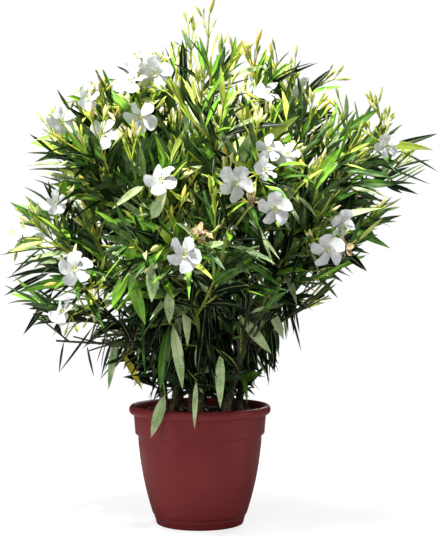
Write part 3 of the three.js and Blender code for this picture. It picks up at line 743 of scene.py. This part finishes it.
def build_limbs(masses, stems):
    random = np.random.default_rng(33)
    stem_piece = Piece("stems", "bark", BARK_MATERIALS, ["stem_" + name for name in STEMS])
    forked = [mass for mass in masses if mass.fork is not None]
    bough_piece = Piece("boughs", "young_bark", BARK_MATERIALS, ["bough_" + m.name for m in forked])

    def grow(piece, curve, radius_at, finish, sides):
        ways = np.linspace(0, 1, int(curve.length / LIMB_STEP))
        line = curve.points([curve.share_at(way) for way in ways])
        radii = np.array([radius_at(way) for way in ways])
        relief = bark_relief(ways * curve.length, radii, sides, random)
        add_tube(piece, line, radii, sides, finish, relief)

    for curve in stems.values():
        def radius_at(way, length=curve.length):
            flare = 1 + (FLARE - 1) * math.exp(-(way * length) / FLARE_HEIGHT)
            return lerp(STEM_FOOT, STEM_TIP, way) * flare

        grow(stem_piece, curve, radius_at, 0, STEM_SIDES)
    for mass in forked:
        grow(bough_piece, mass.limb, lambda way: lerp(BOUGH_FOOT, BOUGH_TIP, way), 1, BOUGH_SIDES)
    stem_piece.built(sharp=60)
    bough_piece.built(sharp=60)


# ---------------------------------------------------------------- the space each mass keeps to

def crown_underside(points):
    """How low leaves hang at each point: the crown's foot rises away from the pot, more on its right."""
    out = np.hypot(points[:, 0], points[:, 1])
    leftward = 0.5 - 0.5 * points[:, 0] / np.maximum(out, 1)
    rise = lerp(UNDERSIDE_RIGHT, UNDERSIDE_LEFT, leftward)
    uneven = UNDERSIDE_UNEVEN * (1 + np.sin(points[:, 0] / 9 + 1.3) * np.sin(points[:, 1] / 11))
    past_rim = np.clip((out - RIM_INSIDE) / RIM_WIDTH, 0, 1)
    low = lerp(POT_TOP - RIM_CLEAR, POT_TOP + RIM_CLEAR, past_rim)
    return low + past_rim * uneven + rise * np.maximum(out - UNDERSIDE_OUT, 0)


def crown_top(points):
    """How high shoots reach at each point: a low dome, with one tall group of shoots through it."""
    out = np.hypot(points[:, 0], points[:, 1])
    rightward = np.clip(0.5 + points[:, 0] / DOME_WIDTH, 0, 1)
    dome = lerp(DOME_LEFT, DOME_RIGHT, rightward) - DOME_FALL * out**2
    spire = polar(*MASSES["crown_spire"][2:5])
    aside = np.hypot(points[:, 0] - spire[0], points[:, 1] - spire[1])
    tall = BOX_HIGH[2] + BOX_MARGIN - SPIRE_FALL * np.maximum(aside - SPIRE_SPREAD, 0)
    return np.maximum(dome, tall)


# The space that an open flower keeps: distances before it, and the radius that is kept open there.
OPEN_ZONES = [(0, 25), (24, 22), (50, 18), (76, 14)]
# How far masses reach into each other, the size of a cell that sorts points, and a cell's neighbours.
OVERLAP, CELL = 16, 9.0
NEIGHBOURS = [(a, b, c) for a in (-1, 0, 1) for b in (-1, 0, 1) for c in (-1, 0, 1)]


class Space:
    """Which mass's leader a point is near, and what has already grown there."""

    def __init__(self, masses, stems):
        self.masses = masses
        lines = np.array([mass.leader.points(np.linspace(0, 1, 9)) for mass in masses])
        self.starts, self.steps = lines[:, :-1], np.diff(lines, axis=1)
        self.squares = (self.steps**2).sum(-1)
        self.cells = {}
        self.flowers = []
        for curve in stems.values():
            self.take(curve.points(np.linspace(0.02, 1, 40)), "limb", 5.5)
        for mass in masses:
            if mass.fork is not None:
                self.take(mass.limb.points(np.linspace(0.2, 1, 16)), "limb", 4.5)

    def distances(self, points):
        """Each point's distance to each mass's leader."""
        offsets = points[:, None, None] - self.starts[None]
        share = np.clip((offsets * self.steps).sum(-1) / self.squares, 0, 1)
        nearest = np.linalg.norm(offsets - share[..., None] * self.steps, axis=-1)
        return nearest.min(-1)

    def holds(self, points, mass, slack=8.0, anywhere=False):
        """Whether points lie inside the crown and, unless `anywhere`, in the mass's own space."""
        points = np.atleast_2d(points)
        if (points < BOX_LOW - BOX_MARGIN).any() or (points > BOX_HIGH + BOX_MARGIN).any():
            return False
        if (points[:, 2] < crown_underside(points)).any() or (points[:, 2] > crown_top(points)).any():
            return False
        if self.hides_flower(points):
            return False
        if anywhere:
            return True
        distances = self.distances(points)
        own = distances[:, mass.index]
        return bool((own < mass.girth + slack).all() and (own <= distances.min(1) + OVERLAP).all())

    def keep_open(self, centre, facing):
        """Nothing else grows round an open flower, nor close before it."""
        for ahead, radius in OPEN_ZONES:
            self.flowers.append([*(centre + facing * ahead), radius])

    def hides_flower(self, points):
        if not self.flowers:
            return False
        zones = np.asarray(self.flowers)
        gaps = np.linalg.norm(points[:, None] - zones[None, :, :3], axis=-1)
        return bool((gaps < zones[:, 3]).any())

    def nearest(self, point):
        return self.masses[int(np.argmin(self.distances(np.atleast_2d(point))[0]))]

    def key(self, point):
        return tuple((point // CELL).astype(int))

    def take(self, points, family, radius=0.0):
        for point in points:
            self.cells.setdefault(self.key(point), []).append((*point, family, radius))

    def crowded(self, points, family, room):
        """Whether a point lies nearer than `room` to something of another family."""
        for point in points:
            i, j, k = self.key(point)
            x, y, z = point
            for a, b, c in NEIGHBOURS:
                for px, py, pz, other, radius in self.cells.get((i + a, j + b, k + c), ()):
                    gap = room + radius
                    if other != family and (px - x) ** 2 + (py - y) ** 2 + (pz - z) ** 2 < gap * gap:
                        return True
        return False


# ---------------------------------------------------------------- shoots, leaves and flowers

SHOOT_TRIES = [(0, 1), (1, 1), (-1, 1), (2, 0.85), (-2, 0.85), (3.1, 0.7), (0.5, 0.6)]
LEAF_TRIES = [(0, 1), (0.4, 1), (-0.4, 0.95), (0.2, 0.85), (-0.7, 0.8), (0.8, 0.7)]

# A blade's stations as shares of its length, its width there, and where its upper side folds.
LEAF_PATTERN = Pattern(
    [0, 0.05, 0.14, 0.3, 0.48, 0.66, 0.84], [0.1, 0.13, 0.55, 0.93, 1.0, 0.84, 0.46],
    (-1, -0.5, -0.06, 0.06, 0.5, 1),
)
PETAL_PATTERN = Pattern(
    [0, 0.18, 0.4, 0.62, 0.8, 0.93], [0.22, 0.5, 0.86, 1.0, 0.96, 0.66], (-1, -0.45, 0.25, 1),
)
SEPAL_PATTERN = Pattern([0, 0.4, 0.75], [0.6, 1, 0.6], (-1, 0, 1))

PLAIN_PETAL, THROAT, WILTED = (0, 0, 0), (1, 1, 1), (2, 2, 2)
GREEN_BUD, CREAM_BUD, ORANGE_BUD, BUD_STALK = range(4)

# How a shoot of each kind bears its leaves: bare length at its foot, spacing, and room at its tip
BEARING = {
    "leader": (14, 1.0, 4),
    "side": (18, 1.0, 4),
    "fine": (10, 0.8, 2),
    "head": (20, 1.0, 24),
    "small_head": (10, 0.9, 10),
    "low": (6, 0.7, 0),
}


# Foliage pieces, with how the names of their masses start.
LEAF_GROUPS = {
    "leaves_top": ("crown_",),
    "leaves_left": ("left_",),
    "leaves_right": ("right_",),
    "leaves_front": ("front_", "skirt_"),
    "leaves_back": ("back_",),
}


def twig_curve(foot, tangent, turn, tilt, reach, rise, knee=0.5):
    """A twig that leaves a limb at an angle, and ends higher by `rise` of its length."""
    direction = tilted(tangent, turn, tilt)
    tip = foot + direction * reach + UP * rise * reach
    return Curve(foot, foot + direction * knee * reach, tip)


class Shoot:
    """A twig that bears leaves. `foot` and `tip` are its radii there."""

    def __init__(self, curve, kind, family, foot, tip):
        self.curve, self.kind, self.family, self.foot, self.tip = curve, kind, family, foot, tip
        self.bears, self.seed = None, 0
        self.low = kind == "low"


class Plant:
    """Everything above the limbs, as it grows."""

    def __init__(self, masses, stems):
        self.masses, self.space = masses, Space(masses, stems)
        self.limbs = [*stems.values(), *(mass.limb for mass in masses if mass.fork is not None)]
        self.leaves = {mass.name: Blades(LEAF_PATTERN, LEAF_THICKNESS, LEAF_RIB) for mass in masses}
        self.petals = Blades(PETAL_PATTERN, PETAL_THICKNESS)
        self.sepals = Blades(SEPAL_PATTERN, SEPAL_THICKNESS)
        self.twigs = Piece("twigs", "young_bark", TWIG_MATERIALS, ["foliage_" + m.name for m in masses])
        self.flowers = Piece("flowers", "petal", PETAL_MATERIALS)
        bud_finishes = BUD_MATERIALS + TWIG_MATERIALS[1:2]
        self.bracts = Piece("bracts", "bud", bud_finishes)
        self.bud_pieces = [Piece("buds_sides", "bud", bud_finishes), Piece("buds_top", "bud", bud_finishes)]
        self.leaf_count = 0

    # -------- shoots

    def grow_shoots(self, mass):
        random = random_from(1000 + mass.index)
        shoots = [Shoot(mass.leader, "leader", "L" + mass.name, TWIG_FOOT * 1.15, TWIG_TIP)]
        self.space.take(mass.leader.points(np.linspace(0.05, 1, 30)), shoots[0].family, 2.0)
        for k in range(mass.shoots):
            start = lerp(0.03, 0.74, (k + 0.5 * random()) / mass.shoots)
            turn = k * GOLDEN_ANGLE + 0.8 * random() + mass.index
            tilt = lerp(0.55, 0.85, random())
            reach = mass.girth * lerp(0.95, 1.25, random())
            foot = mass.leader.point(start)
            for further, shorter in SHOOT_TRIES:
                rise = lerp(0.3, -0.1, mass.droop)
                tangent = mass.leader.tangent(start)
                curve = twig_curve(foot, tangent, turn + further, tilt, reach * shorter, rise)
                marks = curve.points([0.25, 0.5, 0.75, 1])
                line = curve.points(np.linspace(0.12, 1, 18))
                if self.space.holds(marks, mass, 2) and not self.space.crowded(line, "", TWIG_ROOM):
                    family = mass.name + str(k)
                    self.space.take(line, family, 1.8)
                    shoots.append(Shoot(curve, "side", family, TWIG_FOOT * 0.85, TWIG_TIP))
                    break
        return shoots

    def reach_for(self, mass, end, clear, family):
        """A twig that leaves the mass's leader below a point and bends out to it."""
        ways = np.linspace(0.05, 0.92, 40)
        feet = mass.leader.points(ways)
        too_high = np.where(feet[:, 2] < end[2] - 18, 0, 400)
        start = ways[np.argmin(np.abs(np.linalg.norm(feet - end, axis=1) - 75) + too_high)]
        foot = mass.leader.point(start)
        outward = unit((end - foot) * [1, 1, 0.2])
        reach = np.linalg.norm(end - foot)
        direction = unit(mass.leader.tangent(start) * 0.7 + outward * 0.7)
        curve = Curve(foot, foot + direction * 0.45 * reach, end - unit(end - foot) * clear)
        self.space.take(curve.points(np.linspace(0.3, 1, 14)), family, 1.5)
        return curve

    def grow_heads(self, mass, shoots):
        """The flowering twigs: each leaves the leader below its head and ends in the flowers."""
        random = random_from(8000 + mass.index)
        for k, (right, back, above, kind) in enumerate(HEADS.get(mass.name, ())):
            head = mass.tip + np.array([right, back, above])
            clear = 24 if kind in ("open", "wilted") else 40
            family = f"{mass.name}_head{k}"
            shoot = Shoot(self.reach_for(mass, head, clear, family), "head", family, 2.0, 1.5)
            shoot.bears, shoot.seed = kind, int(random() * 1e6)
            shoots.append(shoot)

    def grow_fine_shoots(self, mass, shoots):
        """Short twigs between the side shoots, turned on by the golden angle; high ones end in buds."""
        random = random_from(7000 + mass.index)
        for shoot in list(shoots):
            if shoot.kind not in ("leader", "side"):
                continue
            count = int(shoot.curve.length / (38 if shoot.kind == "leader" else 50))
            for k in range(count):
                start = lerp(0.16, 0.86, (k + random()) / count)
                angle = k * GOLDEN_ANGLE + TAU * random()
                tilt = lerp(0.5, 0.9, random())
                reach = lerp(38, 78, random())
                flowering = random() < lerp(-0.5, 0.9, self.height_share(shoot.curve.tip))
                foot = shoot.curve.point(start)
                for further in (0, 1.3, -1.3, 2.6):
                    rise = lerp(0.35, -0.15, mass.droop)
                    tangent = shoot.curve.tangent(start)
                    curve = twig_curve(foot, tangent, angle + further, tilt, reach, rise)
                    line = curve.points(np.linspace(0.3, 1, 8))
                    if not self.space.holds(curve.points([0.5, 1]), mass, -12):
                        continue
                    if self.space.crowded(line, shoot.family, TWIG_ROOM):
                        continue
                    family = f"{shoot.family}_{k}"
                    self.space.take(line, family, 1.2)
                    twig = Shoot(curve, "small_head" if flowering else "fine", family, 1.7, 1.2)
                    if flowering:
                        twig.bears, twig.seed = "spray", int(random() * 1e6)
                    shoots.append(twig)
                    break

    def grow_low_shoots(self, limbs):
        """Short hanging twigs round the lower limbs, whose old leaves fill the foot of the crown."""
        random = random_from(6100)
        grown = []
        for limb in limbs:
            way, k = 30, 0
            while way < limb.length - 8:
                foot = limb.point(limb.share_at(way / limb.length))
                way += lerp(6, 12, random())
                k += 1
                angle, reach = k * GOLDEN_ANGLE + random(), lerp(20, 85, random())
                tilt = lerp(0.9, 1.35, random())
                if foot[2] < LOWEST_LEAVES:
                    continue
                for further in (0, 1.1, -1.1, 2.2):
                    curve = twig_curve(foot, limb.tangent(0.5), angle + further, tilt, reach, -0.2, 0.55)
                    line = curve.points(np.linspace(0.3, 1, 8))
                    mass = self.space.nearest(curve.tip)
                    free = self.space.holds(line, mass, anywhere=True)
                    if free and not self.space.crowded(line, "", LOW_ROOM):
                        family = f"low{len(grown)}_{mass.name}"
                        self.space.take(line, family, 1.2)
                        grown.append((mass, Shoot(curve, "low", family, 1.8, 1.2)))
                        break
        return grown

    # -------- leaves

    def height_share(self, point):
        """0 where the lowest leaves are, 1 where the tallest shoots end."""
        return float(np.clip((point[2] - LOWEST_LEAVES) / (TALLEST_LEAVES - LOWEST_LEAVES), 0, 1))

    def leaf_finish(self, age, height, low, random):
        """Young leaves and high ones are light. Low ones and many old ones take painted shade, a near-black
        green for the shade low in and inside the crown; some low ones take painted light, a sunlit,
        sheen-pale grey-green, which grows commoner higher up.
        """
        draw = random()
        if low:
            pale = lerp(0.05, 0.22, min(1, 3 * height))
            return "pale" if draw < pale else "mid" if draw < pale + 0.06 else "deep"
        shaded = float(np.clip(1 - (height - 0.1) / 0.25, 0, 1))
        if age < OLD_AGE and draw < 0.75 * shaded:
            return "deep"
        if age < YOUNG_AGE:
            return "young" if draw > 0.8 - 0.7 * height else "bright"
        if age < OLD_AGE:
            light = 0.15 + 0.55 * height
            if draw < 0.14:
                return "deep"
            return "young" if draw > 1 - 0.35 * light else "bright" if draw > 1 - light else "mid"
        if draw > 0.998:
            return "old"
        deep = lerp(0.92, 0.33, float(np.clip((height - 0.12) / 0.45, 0, 1)))
        pale = lerp(0.06, 0.38, min(1, 1.7 * height))
        bright = lerp(0.0, 0.22, height)
        if draw < deep:
            return "deep"
        if draw < deep + pale:
            return "pale"
        return "bright" if draw < deep + pale + bright else "mid"

    def set_leaf(self, mass, root, direction, above, length, half, finish, bends):
        rib = "young_rib" if finish in ("young", "bright", "old") else "rib"
        # Painted-shade leaves also get the painted-shade underside.
        under = "deep_under" if finish == "deep" else "under"
        indices = (LEAF_FINISHES[finish], LEAF_FINISHES[rib], LEAF_FINISHES[under])
        self.leaves[mass.name].add(root, direction, above, length, half, indices, **bends)
        self.leaf_count += 1

    def leaf_marks(self, root, direction, side, length, half, droop):
        shares = np.array([0.3, 0.5, 0.7, 0.88, 1.0])
        line = root + direction * (shares * length)[:, None]
        line = line - UP * (droop * length * shares**2)[:, None]
        return np.concatenate([line, line[1:3] + side * half * 0.7, line[1:3] - side * half * 0.7])

    def try_leaf(self, mass, family, root, direction, above, length, finish, droop, low, random):
        side = unit(np.cross(direction, above))
        half = 0.5 * LEAF_WIDTH * (length / LEAF_LENGTH) ** 0.85 * lerp(0.52, 0.98, random())
        marks = self.leaf_marks(root, direction, side, length, half, droop)
        if not self.space.holds(marks, mass, anywhere=low):
            return False
        if self.space.crowded(marks, family, LEAF_ROOM):
            return False
        self.space.take(marks, family)
        self.set_leaf(mass, root, direction, above, length, half, finish, {
            "droop": droop, "curl": lerp(-0.1, 0.06, random()), "sway": lerp(-0.09, 0.09, random()),
            "fold": lerp(0.12, 0.5, random()), "twist": lerp(-0.7, 0.7, random()), "ruffle": 0.05,
        })
        return True

    def grow_leaves(self, mass, shoot, random):
        curve = shoot.curve
        across = across_of(curve.tangent(0))
        bare, closeness, back = BEARING[shoot.kind]
        whorl = int(random() * 2)
        while back < curve.length - bare:
            share = curve.share_at(1 - back / curve.length)
            axis = curve.tangent(share)
            place = curve.point(share)
            height = self.height_share(place)
            age = min(1, back / FULL_AGE_BELOW)
            for k in range(WHORL_LEAVES):
                turned = (whorl % 2) * math.pi / WHORL_LEAVES + 0.35 * (random() - 0.5)
                angle = TAU * k / WHORL_LEAVES + turned
                tilt = lerp(0.25, 0.95, age**0.7) + 0.35 * (random() - 0.5)
                size = lerp(0.5, 1, age**0.6) * lerp(0.8, 1.1, random()) * lerp(1.06, 0.94, height)
                free = float(np.clip((place[2] - POT_TOP - 35) / 100, 0.12, 1))
                hang = lerp(1.2, 2.6, random()) * free if shoot.low else 0.95 * mass.droop * max(age, 0.3)
                droop = lerp(0.0, 0.2, age) + (0.3 if shoot.low else 0.5 * mass.droop) * random()
                aside = float(np.clip((abs(place[0]) - 120) / 150, 0, 1))
                gaps = lerp(0.04, 0.22, height) + 0.24 * aside + 0.4 * (mass.name == "crown_spire")
                if height < 0.3 and math.hypot(place[0], place[1]) > 70:
                    gaps += 0.4
                missing = random() < gaps
                finish = self.leaf_finish(age, height, shoot.low, random)
                if missing:
                    continue
                for turn, smaller in LEAF_TRIES:
                    direction = tilted(axis, angle + turn, tilt, across)
                    direction = unit(direction - UP * hang)
                    root = place + side_of(axis, angle + turn, across) * 1.0
                    length = LEAF_LENGTH * size * smaller
                    if self.try_leaf(mass, f"{shoot.family}w{whorl}", root, direction, axis, length,
                                     finish, droop, shoot.low, random):
                        break
            whorl += 1
            back += WHORL_SPACING * closeness * lerp(0.85, 1.15, random())

    def grow_strays(self, mass):
        """The leaves that stand alone, each on a twig of its own where it is far from the leader."""
        for k, (name, foot, tip, finish, breadth) in enumerate(STRAYS):
            if name != mass.name:
                continue
            root, tip = np.array(foot, float), np.array(tip, float)
            family = f"{name}_stray{k}"
            twig = self.reach_for(mass, root, 0, family)
            steps = np.linspace(0, 1, 8)
            add_tube(self.twigs, twig.points(steps), lerp(1.6, 1.1, steps), 6, 0)
            length = np.linalg.norm(tip - root)
            direction = (tip - root) / length
            above = np.array([0.25 * math.sin(k), -1.0, 0.35])
            half = 0.5 * LEAF_WIDTH * breadth
            side = unit(np.cross(direction, above))
            self.space.take(self.leaf_marks(root, direction, side, length, half, 0), family)
            bend = 0.12 * math.sin(2.4 * k)
            self.set_leaf(mass, root, direction, above, length, half, finish, {
                "curl": -0.04, "sway": bend * 0.5, "fold": 0.25, "twist": bend, "ruffle": 0.06,
            })

    # -------- flowers and buds

    def add_stalk(self, foot, tip, radius, rise=0.0):
        curve = Curve(foot, (foot + tip) / 2 + UP * rise, tip)
        radii = np.array([1, 0.82, 0.88]) * radius
        add_tube(self.buds, curve.points(np.linspace(0, 1, 3)), radii, 4, BUD_STALK)

    def add_bud(self, foot, direction, length, width, tint, random):
        """A closed bud: a slim calyx with pointed lobes, then the petals wound into a taper."""
        shares = np.array([0, 0.12, 0.3, 0.5, 0.78, 1])
        widths = np.array([0.3, 0.66, 0.66, 1.0, 0.7, 0.12]) * width / 2
        bend = across_of(direction) * lerp(-0.08, 0.08, random()) * length
        line = foot + direction * (shares * length)[:, None] + bend * (shares**2)[:, None]
        add_tube(self.buds, line[:3], widths[:3], 5, GREEN_BUD)
        angles = np.arange(5) * TAU / 5
        wound = 0.12 * np.cos(2 * angles[None] + shares[2:, None] * 5) * widths[2:, None]
        add_tube(self.buds, line[2:], widths[2:], 5, tint, wound)
        if width > 4.4:
            for k in range(3):
                side = side_of(direction, k * TAU / 3)
                self.sepals.add(
                    foot + direction * length * 0.04 + side * width * 0.2, unit(direction + side * 0.1),
                    side, length * 0.34, width * 0.22, (GREEN_BUD,) * 3, fold=-0.3,
                )

    def add_flower(self, centre, facing, turn, size, wilted, random):
        """Five petals set like a propeller round a short crowned throat."""
        finish = WILTED if wilted else PLAIN_PETAL
        shrink = 0.62 if wilted else 1
        for k in range(PETALS):
            side = side_of(facing, turn + k * TAU / PETALS + 0.1 * (random() - 0.5))
            rise = lerp(-0.9, 1.1, random()) if wilted else lerp(-0.06, 0.52, random())
            direction = unit(side * math.cos(rise) + facing * math.sin(rise))
            above = unit(facing - direction * facing.dot(direction) + np.cross(facing, side) * 0.3)
            length = PETAL_LENGTH * size * shrink * lerp(0.92, 1.08, random())
            half = PETAL_WIDTH / 2 * size * (0.5 if wilted else lerp(0.92, 1.1, random()))
            self.petals.add(
                centre + side * 2.6 * size - facing * 0.6, direction, above, length, half, finish,
                curl=lerp(-0.26, -0.05, random()) * (2.5 if wilted else 1), sway=0.26,
                fold=lerp(-0.05, 0.22, random()), twist=lerp(0.05, 0.4, random()) * (3 if wilted else 1),
                ruffle=0.3 if wilted else 0.2,
            )
            for part in (-0.3, 0.3):
                lobe = side_of(facing, turn + (k + part) * TAU / PETALS)
                self.petals.add(
                    centre + lobe * 2.8 * size, unit(facing * 0.9 + lobe * 0.45), -lobe,
                    4.2 * size * shrink, 1.3 * size, WILTED if wilted else THROAT, ruffle=0.2,
                )
        shares = np.linspace(0, 1, 6)
        line = centre - facing * (shares[::-1] * TUBE_LENGTH * size)[:, None]
        tube_finish = WILTED[0] if wilted else THROAT[0]
        add_tube(self.flowers, line, np.array([1.1, 1.5, 2.2, 2.9, 3.4, 3.8]) * size, 10, tube_finish)
        for k in range(PETALS):
            side = side_of(facing, k * TAU / PETALS)
            self.sepals.add(
                centre - facing * TUBE_LENGTH * size + side * 0.9, unit(facing + side * 0.35), side,
                6.5 * size, 1.3 * size, (GREEN_BUD,) * 3, fold=-0.2,
            )

    def flower_facing(self, end, axis, random):
        """Flowers look outward and a little up, and those of the front half more to the front."""
        outward = unit(end * [1, 1, 0] + np.array([0.01, 0, 0]))
        front = np.array([0.0, -0.8, 0.0]) * (end[1] < 20)
        return unit(outward * 0.7 + UP * 0.3 + front + side_of(axis, TAU * random()) * 0.75)

    def grow_cyme(self, shoot):
        """The flower cluster at a shoot's tip: rays that fork into stalked buds, some of them open."""
        random = random_from(shoot.seed)
        kind = shoot.bears
        end = shoot.curve.tip
        axis = shoot.curve.tangent(1)
        facing = None
        if kind in ("open", "wilted"):
            facing = self.flower_facing(end, axis, random)
            centre = end + unit(axis * 0.4 + facing) * 22
            size = lerp(0.76, 1.1, random())
            self.add_stalk(end, centre - facing * 14, 1.2, -2)
            self.add_flower(centre, facing, TAU * random(), size, kind == "wilted", random)
            self.space.keep_open(centre, facing)
        elif kind == "opening":
            facing = self.flower_facing(end, axis, random)
            self.add_stalk(end, end + facing * 10, 1.2)
            self.add_bud(end + facing * 9, unit(facing - UP * 0.7), 34, 10, CREAM_BUD, random)
        rays = (4 if kind == "buds" else 3) + int(2 * random())
        turn = TAU * random()
        for k in range(rays):
            angle = turn + k * GOLDEN_ANGLE
            spread = lerp(0.15, 0.7, random()) if kind in ("buds", "spray") else lerp(0.5, 1.0, random())
            direction = tilted(axis, angle, spread)
            if facing is not None:
                direction = direction - facing * (max(direction.dot(facing), 0) + 0.3)
            direction = unit(direction + UP * 0.35)
            reach = lerp(14, 38, random()) if kind in ("buds", "spray") else lerp(8, 20, random())
            ray = end + direction * reach
            if ray[2] + 12 > crown_top(ray[None])[0]:
                continue
            self.add_stalk(end, ray, 1.15, reach * 0.06)
            for j in range(1 + int(2 * random())):
                out = tilted(direction, angle + j * 2.2 + random(), lerp(0.1, 0.5, random()))
                stalk = ray + out * lerp(4, 10, random())
                self.add_stalk(ray, stalk, 0.9)
                ripe = random()
                tint = GREEN_BUD if ripe < 0.55 else CREAM_BUD if ripe < 0.9 else ORANGE_BUD
                length, width = lerp(12, 31, ripe), lerp(3.6, 6.4, ripe)
                self.add_bud(stalk, unit(out + UP * 0.15), length, width, tint, random)
            # a small bract stands below each ray
            self.sepals.add(end + direction * 1.5, direction, axis, 11, 1.3, (GREEN_BUD,) * 3, droop=0.1)

    # -------- the whole plant

    def grow_frame(self, mass):
        """A mass's shoots, and which of them carry flowers or buds."""
        shoots = self.grow_shoots(mass)
        for k, shoot in enumerate(shoots):
            if k < mass.blooms + mass.buds:
                shoot.bears = "open" if k < mass.blooms else "buds"
                shoot.seed = 9000 + 40 * mass.index + k
        self.grow_heads(mass, shoots)
        return shoots

    def dress(self, mass, shoots):
        """The mass's twigs as meshes, and their leaves."""
        random = random_from(5000 + mass.index + 100 * int(shoots[0].low))
        for shoot in shoots:
            before = self.leaf_count
            self.grow_leaves(mass, shoot, random)
            if shoot.low and self.leaf_count < before + 2:
                continue
            ways = np.linspace(0, 1, max(4, int(shoot.curve.length / 12)))
            # Twigs low in the crown take the dark twig colour as painted shade.
            shaded = shoot.low or self.height_share(shoot.curve.point(0.5)) < 0.26
            finish = 2 if shaded else int(shoot.kind not in ("leader", "side"))
            radii = lerp(shoot.foot, shoot.tip, ways)
            add_tube(self.twigs, shoot.curve.points(ways), radii, TWIG_SIDES, finish)

    def grow_cymes(self, mass, shoots):
        """The clusters of the shoots that bear them. The crown and the front share one piece of buds."""
        self.buds = self.bud_pieces[mass.name.startswith(("crown_", "front_"))]
        for shoot in shoots:
            if shoot.bears:
                self.grow_cyme(shoot)

    def build(self):
        frames = [(mass, self.grow_frame(mass)) for mass in self.masses]
        for mass, shoots in frames:
            self.grow_cymes(mass, shoots)
            self.grow_strays(mass)
        for mass, shoots in frames:
            grown = len(shoots)
            self.grow_fine_shoots(mass, shoots)
            self.grow_cymes(mass, shoots[grown:])
        for mass, shoots in frames:
            self.dress(mass, shoots)
        for mass, shoot in self.grow_low_shoots(self.limbs):
            self.dress(mass, [shoot])
        for name, starts in LEAF_GROUPS.items():
            members = [mass.name for mass in self.masses if mass.name.startswith(starts)]
            materials = list(LEAF_MATERIALS.values())
            piece = Piece(name, "leaf", materials, ["foliage_" + member for member in members])
            for member in members:
                self.leaves[member].fill(piece)
            piece.built(sharp=60)
        self.petals.fill(self.flowers)
        self.sepals.fill(self.bracts)
        self.twigs.built(sharp=70)
        self.flowers.built(sharp=70)
        for piece in (*self.bud_pieces, self.bracts):
            piece.built(sharp=60)


# ---------------------------------------------------------------- studio

def add_area(name, place, target, size, power, tint):
    data = bpy.data.lights.new(name, "AREA")
    data.shape = "RECTANGLE"
    data.size, data.size_y = size
    data.energy = power
    data.color = tint
    light = bpy.data.objects.new(name, data)
    light.location = place
    light.rotation_euler = (Vector(target) - Vector(place)).to_track_quat("-Z", "Y").to_euler()
    bpy.context.scene.collection.objects.link(light)


def build_camera():
    data = bpy.data.cameras.new("camera")
    data.lens = CAMERA_LENS
    data.sensor_width = SENSOR_WIDTH
    camera = bpy.data.objects.new("camera", data)
    camera.location = CAMERA_PLACE
    camera.rotation_euler = (math.pi / 2, 0, 0)
    bpy.context.scene.collection.objects.link(camera)
    bpy.context.scene.camera = camera


def link_camera_level(tree, other, seen, socket):
    """Drives a strength: one value for what the camera sees, another for the light it throws."""
    ray = tree.nodes.new("ShaderNodeLightPath")
    level = tree.nodes.new("ShaderNodeMapRange")
    level.inputs["To Min"].default_value = other
    level.inputs["To Max"].default_value = seen
    tree.links.new(ray.outputs["Is Camera Ray"], level.inputs["Value"])
    tree.links.new(level.outputs["Result"], socket)


def build_floor():
    """A round white table top. What the camera sees of it glows, so that it stays white without
    throwing that much light up into the plant."""
    mesh = bpy.data.meshes.new("floor")
    rim = [(FLOOR_RADIUS * math.cos(a), FLOOR_RADIUS * math.sin(a), 0) for a in np.arange(96) * TAU / 96]
    mesh.from_pydata(rim, [], [list(range(96))])
    floor = bpy.data.objects.new("floor", mesh)
    bpy.context.scene.collection.objects.link(floor)
    material = bpy.data.materials.new("floor_white")
    material.use_nodes = True
    shader = material.node_tree.nodes["Principled BSDF"]
    shader.inputs["Base Color"].default_value = (FLOOR_TONE, FLOOR_TONE, FLOOR_TONE, 1)
    shader.inputs["Roughness"].default_value = 0.9
    shader.inputs["Specular IOR Level"].default_value = 0.1
    shader.inputs["Emission Color"].default_value = (1, 1, 1, 1)
    link_camera_level(material.node_tree, 0, FLOOR_GLOW, shader.inputs["Emission Strength"])
    mesh.materials.append(material)


def build_world():
    """White where the camera sees it, and dimmer as a light, so that the plant keeps its depth."""
    world = bpy.data.worlds.new("studio")
    bpy.context.scene.world = world
    world.use_nodes = True
    background = world.node_tree.nodes["Background"]
    background.inputs["Color"].default_value = (1, 1, 1, 1)
    link_camera_level(world.node_tree, WORLD_LIGHT, 1.0, background.inputs["Strength"])


def build_studio():
    build_camera()
    build_floor()
    build_world()
    bpy.context.scene.view_settings.view_transform = "Standard"
    for name, light in LIGHTS.items():
        add_area(name, *light)


# ---------------------------------------------------------------- everything together

build_studio()
build_pot()
build_soil()
masses, stems = grow_skeleton()
build_limbs(masses, stems)
Plant(masses, stems).build()
